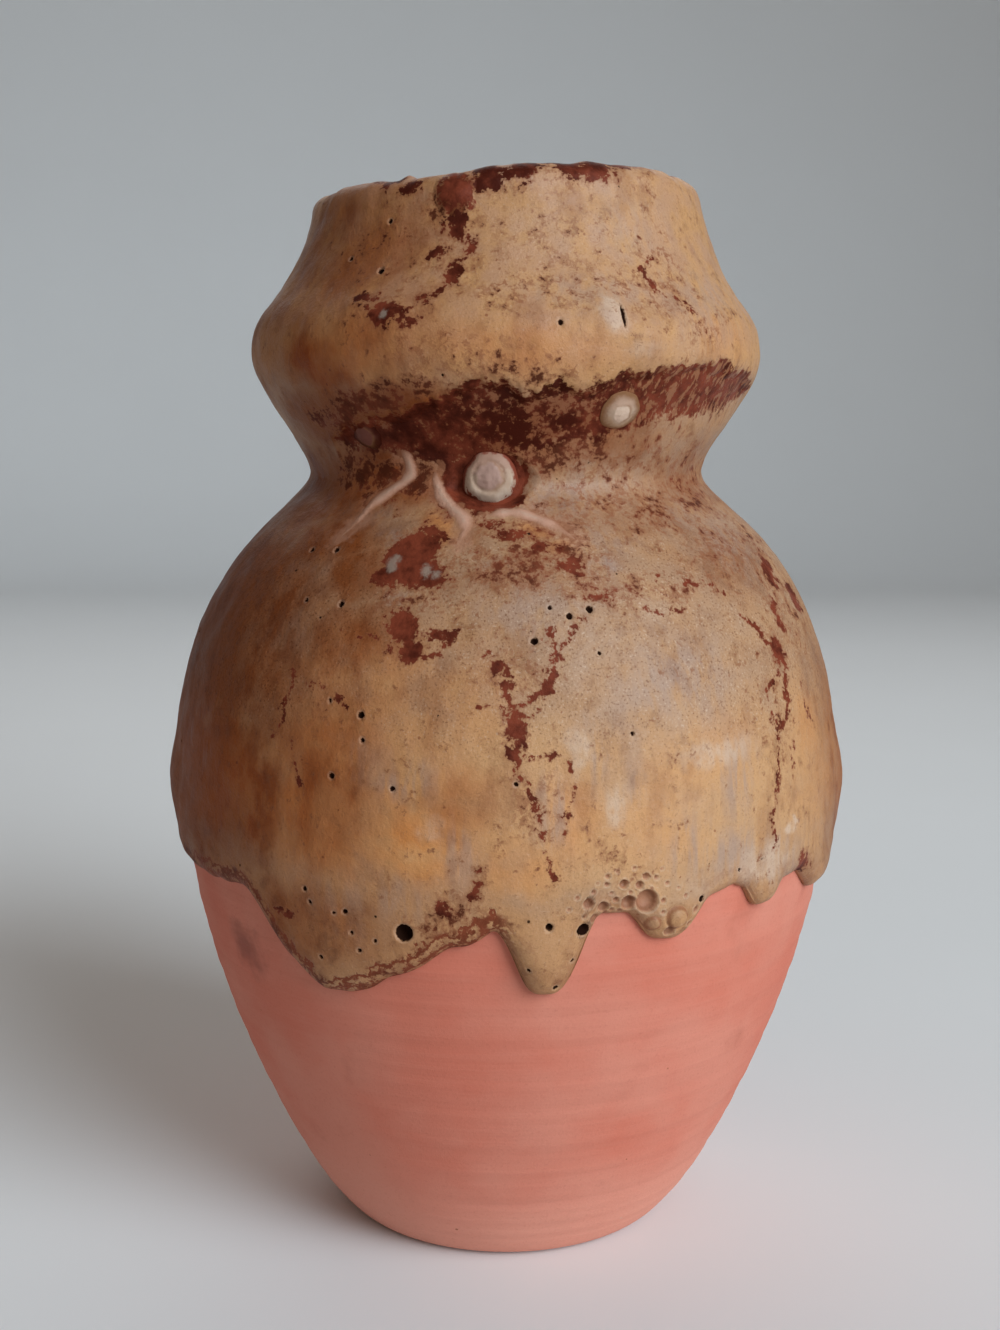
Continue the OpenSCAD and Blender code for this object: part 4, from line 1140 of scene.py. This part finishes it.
def glaze_red(m, patch, fleck, fine):
    """How red and how rusty the glaze is: spots, veins, flecks, the neck band and lines at the edge, with
    painted shade along the drip edge mixed into the rust.
    """
    comb = m.cloud(1.5, detail=4, stretch=4, shift=2.7, rough=0.6)
    ragged = m.add(m.sway(patch, 3), m.sway(fleck, 5), m.sway(fine, 5))
    spot = m.add(m.field("spot"), ragged)
    vein = m.add(m.field("vein"), m.sway(patch, 2), m.sway(fleck, 3.5), m.sway(fine, 5), -0.1)
    band = m.add(m.field("band"), m.times(ragged, 0.7))

    mottle, lobe, edge = m.field("mottle"), m.field("lobe"), m.field("edge")
    chance = m.add(m.times(fleck, 0.4), m.times(patch, 0.22), m.times(fine, 0.38))
    chance = m.node("ShaderNodeMix", {0: m.field("comb"), 2: chance, 3: comb}, data_type="FLOAT").outputs[0]
    flecks = m.add(chance, m.times(mottle, 0.2))
    holes = m.add(m.calc("SUBTRACT", 1.0, chance), m.times(m.field("open"), 0.17))
    inside = m.ramp(band, -0.3, 0.5)
    band = m.times(inside, m.ramp(holes, 0.585, 0.645, 1, 0.12))
    hair = m.times(m.cracks(6, 0.45), m.ramp(mottle, 0.08, 0.4), m.ramp(fleck, 0.44, 0.54))

    wavy = m.add(edge, m.sway(patch, 9), m.sway(fleck, 6), m.sway(fine, 2.5))
    lines = []
    for gap in EDGE_LINES:
        off = m.calc("SUBTRACT", wavy, gap)
        lines.append(m.ramp(m.calc("ABSOLUTE", off, 0.0), 0.8, 0.25))
    braid = m.times(m.cracks(3.4, 0.75), m.ramp(edge, 5.2, 3.6), m.ramp(fleck, 0.42, 0.52))
    lines = m.times(m.most(braid, *lines), m.ramp(lobe, 0, 1, 0.1, 0.95))
    # Painted shade along the drip edge
    shade = m.ramp(m.add(edge, m.sway(fine, 2)), 2.4, 0.3, 0, 0.45)

    red = m.most(
        m.ramp(spot, -0.15, 0.3),
        m.ramp(vein, -0.12, 0.22),
        m.ramp(flecks, 0.625, 0.69, 0, 0.85),
        band,
        m.times(lines, 0.85),
    )
    rust_and_edge_shade = m.most(
        m.ramp(spot, -1.4, 0.1, 0, 0.65),
        m.ramp(vein, -0.7, 0.1, 0, 0.6),
        m.ramp(flecks, 0.565, 0.64, 0, 0.6),
        m.times(hair, 0.7),
        m.times(inside, 0.8),
        lines,
        m.times(shade, m.ramp(lobe, 0, 1, 0.6, 1)),
    )
    return red, rust_and_edge_shade


def drop_cover(m, fleck, fine):
    """Paints the red of the drop on the rim, broken at its edge, and gives where it is dull."""
    share = m.add(m.field("share"), m.sway(fleck, 1.4), m.sway(fine, 1.2))
    red = m.blend(m.ramp(fleck, 0.36, 0.62), m.blend(0.15, RED, DARK_RED), m.blend(0.65, RED, DARK_RED))
    m.paint(RUST, m.ramp(share, 1, 0.75, 0, 0.7))
    body = m.ramp(share, 0.86, 0.68)
    m.paint(red, body)
    return body


def trail_cover(m, fleck, fine):
    """Paints the pale crown of a trail over orange sides, with a painted highlight along its top; it is dull
    nowhere.
    """
    crown = m.add(m.field("crown"), m.sway(fleck, 0.9), m.sway(fine, 0.5))
    m.paint(TRAIL_PINK, m.ramp(crown, 0.05, 0.5, 0, 0.65))
    m.paint(TRAIL_CREAM, m.ramp(crown, 0.25, 0.85, 0, 0.9))
    # Painted highlight along the top of the trail
    m.paint(BEAD_WHITE, m.ramp(crown, 0.75, 1.1, 0, 0.35))
    return 0.0


def clay_material():
    """Bare terracotta: fine grain, faint turning marks, smudges and a paler foot."""
    m = Shader("terracotta")
    cloud = m.cloud(26, detail=3)
    grain = m.cloud(0.7, detail=4, shift=0.9, rough=0.7)
    turning = m.cloud(30, detail=3, stretch=0.035, shift=2)
    smudge = m.cloud(20, detail=4, shift=4.4)
    m.colour = m.blend(m.ramp(cloud, 0.3, 0.7), CLAY, CLAY_PALE)
    m.paint(CLAY_PALE, m.ramp(turning, 0.48, 0.66, 0, 0.16))
    m.paint(CLAY_DARK, m.ramp(smudge, 0.6, 0.78, 0, 0.4))
    m.paint(CLAY_FOOT, m.ramp(m.height(), 34, 3, 0, 0.85))
    inputs = {0: m.position, 1: tuple(seat_frame(SMUDGE, 0)[0])}
    gap = m.node("ShaderNodeVectorMath", inputs, operation="DISTANCE").outputs["Value"]
    near = m.add(m.calc("DIVIDE", gap, MM), m.sway(m.cloud(5, detail=3), 11))
    m.paint(CLAY_SMUDGE, m.ramp(near, 8.5, 1, 0, 0.6))
    m.paint(CLAY_DARK, m.ramp(grain, 0.52, 0.78, 0, 0.3))
    m.paint(RUST, m.dots(9, 0.3, 0.4), 0.8)
    m.paint(CREAM, m.dots(16, 0.3, 0.4), 0.8)
    m.relief(m.add(grain, m.times(turning, 1.2)), 0.12, 0.6)
    return m.finish(m.ramp(grain, 0.3, 0.7, 0.74, 0.88), 0.15)


def liner_material():
    """Brown glaze of the inside."""
    m = Shader("inner_glaze")
    cloud = m.cloud(12, detail=5)
    streak = m.cloud(3.5, detail=4, stretch=6, shift=1)
    m.colour = m.blend(m.ramp(cloud, 0.35, 0.7), LINER_BROWN, LINER_TAN)
    m.paint(DARK_RED, m.ramp(streak, 0.5, 0.72, 0, 0.6))
    m.relief(cloud, 0.3, 0.5)
    return m.finish(m.ramp(cloud, 0.3, 0.7, 0.25, 0.42))


def bead_material(name, middle, ring, lower, edge, core_size, fade=0.11, teeth=1.3, shine=0.28):
    """A bead: its middle, its ring, its lower side with teeth that run down, and an edge that fades out, with
    painted shade on its top side and on the right of the groove round its middle.
    """
    m = Shader(name)
    fleck = m.cloud(1.6, detail=4)
    fine = m.cloud(0.8, detail=4, shift=0.8)
    comb = m.cloud(0.9, detail=3, stretch=4, shift=0.3)
    falls = m.field("falls")
    share = m.add(m.field("share"), m.sway(fleck, 0.3), m.sway(fine, 0.15))
    core = m.add(m.field("middle"), m.sway(fleck, 0.35))
    low = m.ramp(m.add(falls, m.sway(comb, 2)), -0.1, 0.7)
    m.colour = m.blend(m.times(low, m.ramp(share, 0.45, 0.65)), ring, lower)
    # Painted shade on the top side of the bead, in its middle colour mixed with rust
    crest_shade = m.ramp(m.add(falls, m.sway(fleck, 1.5)), -0.1, -0.8, 0, 0.7)
    m.paint(m.blend(0.45, middle, RUST), crest_shade)
    # Painted shade in the groove round the middle, stronger on its right side
    groove = m.ramp(core, core_size + 0.18, core_size + 0.04)
    m.paint(BROWN, groove, m.ramp(m.field("aside"), -0.3, 0.6), 0.55)
    m.paint(middle, m.ramp(core, core_size + 0.06, core_size - 0.06))
    m.paint(ring, m.ramp(fine, 0.52, 0.74, 0, 0.35))
    reach = m.add(share, m.times(m.ramp(falls, 0, 0.6), m.sway(comb, teeth)))
    m.paint(edge, m.ramp(reach, 0.95 - fade, 0.95))
    m.relief(m.add(fleck, fine), 0.15, 0.6)
    return m.finish(m.ramp(fine, 0.3, 0.7, 0.52, 0.66), shine)


def stage_material():
    """Plain pale studio floor with the faintest unevenness."""
    m = Shader("studio_floor")
    cloud = m.cloud(160, detail=3)
    m.colour = m.blend(cloud, STAGE_GREY, tuple(0.03 + c for c in STAGE_GREY))
    return m.finish(m.ramp(cloud, 0.3, 0.7, 0.75, 0.85), 0.12)


# Pieces

dress(build_clay(), "terracotta_body", clay_material())
dress(build_liner(), "liner_glaze", liner_material())
dress(build_red_coat(), "base_glaze", glaze_material("red_glaze"))
dress(build_crust(), "lava_glaze", glaze_material("lava_glaze"))

large = eye(BEAD_FRONT_OUT)
front = build_bead("bead_large", BEAD_FRONT, BEAD_FRONT_R, large, wobbly(3, 0.07), BEAD_FRONT_MIDDLE)
right = build_bead("bead_pale", BEAD_RIGHT, BEAD_RIGHT_R, rounded(BEAD_RIGHT_OUT, 2), wobbly(5, 0.04, 1.06))
left = build_bead("bead_dull", BEAD_LEFT, BEAD_LEFT_R, rounded(BEAD_LEFT_OUT, 2.2), wobbly(8, 0.1, 1.2))
drop = build_drop("drop_on_rim", RIM_DROP, RIM_DROP_R, RIM_DROP_OUT, wobbly(9, 0.16))
pink = bead_material("bead_pink", BEAD_PINK, BEAD_CREAM, BEAD_WHITE, RED, 0.46)
cream = bead_material("bead_cream", BEAD_MILK, BEAD_CREAM, BEAD_SAND, BEAD_RIM, 0.42, 0.42, 0.2, 0.1)
grey = bead_material("bead_grey", BEAD_MAUVE, BEAD_MAUVE, UMBER, DARK_RED, 0.6, 0.5, 0.3, 0.05)
dress(front, "bead_front", pink)
dress(right, "bead_right", cream)
dress(left, "bead_left", grey)
dress(drop, "rim_drop", glaze_material("rim_drop", drop_cover))

pale_trail = glaze_material("trail_pale", trail_cover)
orange_trail = glaze_material("trail_orange", trail_cover)
dress(build_trail("trail_long", TRAIL_LEFT), "trail_left", pale_trail)
dress(build_trail("trail_bent", TRAIL_MIDDLE), "trail_middle", pale_trail)
dress(build_trail("trail_warm", TRAIL_RIGHT), "trail_right", orange_trail)


# Studio


def build_stage():
    """Floor that sweeps up into a plain backdrop."""
    reach, back, bend, tall, wide = 2.6, 1.25, 0.35, 1.8, 3.0
    turn = np.linspace(0, np.pi / 2, 14)
    y = np.concatenate([[-reach], back + bend * np.sin(turn), [back + bend]])
    z = np.concatenate([[0], bend * (1 - np.cos(turn)), [tall]])
    points = [(x, b, h) for b, h in zip(y, z) for x in (-wide, wide)]
    faces = [(2 * k, 2 * k + 1, 2 * k + 3, 2 * k + 2) for k in range(len(y) - 1)]
    mesh = bpy.data.meshes.new("studio_floor")
    mesh.from_pydata(points, [], faces)
    mesh.shade_smooth()
    mesh.materials.append(stage_material())
    floor = linked("studio_floor", mesh)


def add_light(name, place, size, power, tint, spread):
    """Soft square light that looks at the vase, with its beam spread in degrees."""
    lamp = bpy.data.lights.new(name, "AREA")
    lamp.shape = "RECTANGLE"
    lamp.size, lamp.size_y = size
    lamp.energy = power
    lamp.color = tint
    lamp.spread = np.radians(spread)
    light = linked(name, lamp)
    light.location = place
    light.rotation_euler = (Vector(LIGHT_TARGET) - Vector(place)).to_track_quat("-Z", "Y").to_euler()


def add_camera():
    """Camera where the photograph was taken from."""
    view = bpy.data.cameras.new("camera")
    view.lens, view.sensor_width = CAMERA_LENS, CAMERA_SENSOR
    camera = linked("camera", view)
    camera.location = CAMERA_PLACE
    camera.rotation_euler = (np.radians(90 - CAMERA_DOWN), 0, 0)
    bpy.context.scene.camera = camera


def light_world():
    """Dim even light from all round."""
    world = bpy.data.worlds.new("studio")
    world.use_nodes = True
    ground = world.node_tree.nodes["Background"]
    ground.inputs["Color"].default_value = (*WORLD_TINT, 1)
    ground.inputs["Strength"].default_value = WORLD_POWER
    bpy.context.scene.world = world


build_stage()
light_world()
for light in LIGHTS:
    add_light(*light)
add_camera()
bpy.context.scene.view_settings.view_transform = "Standard"
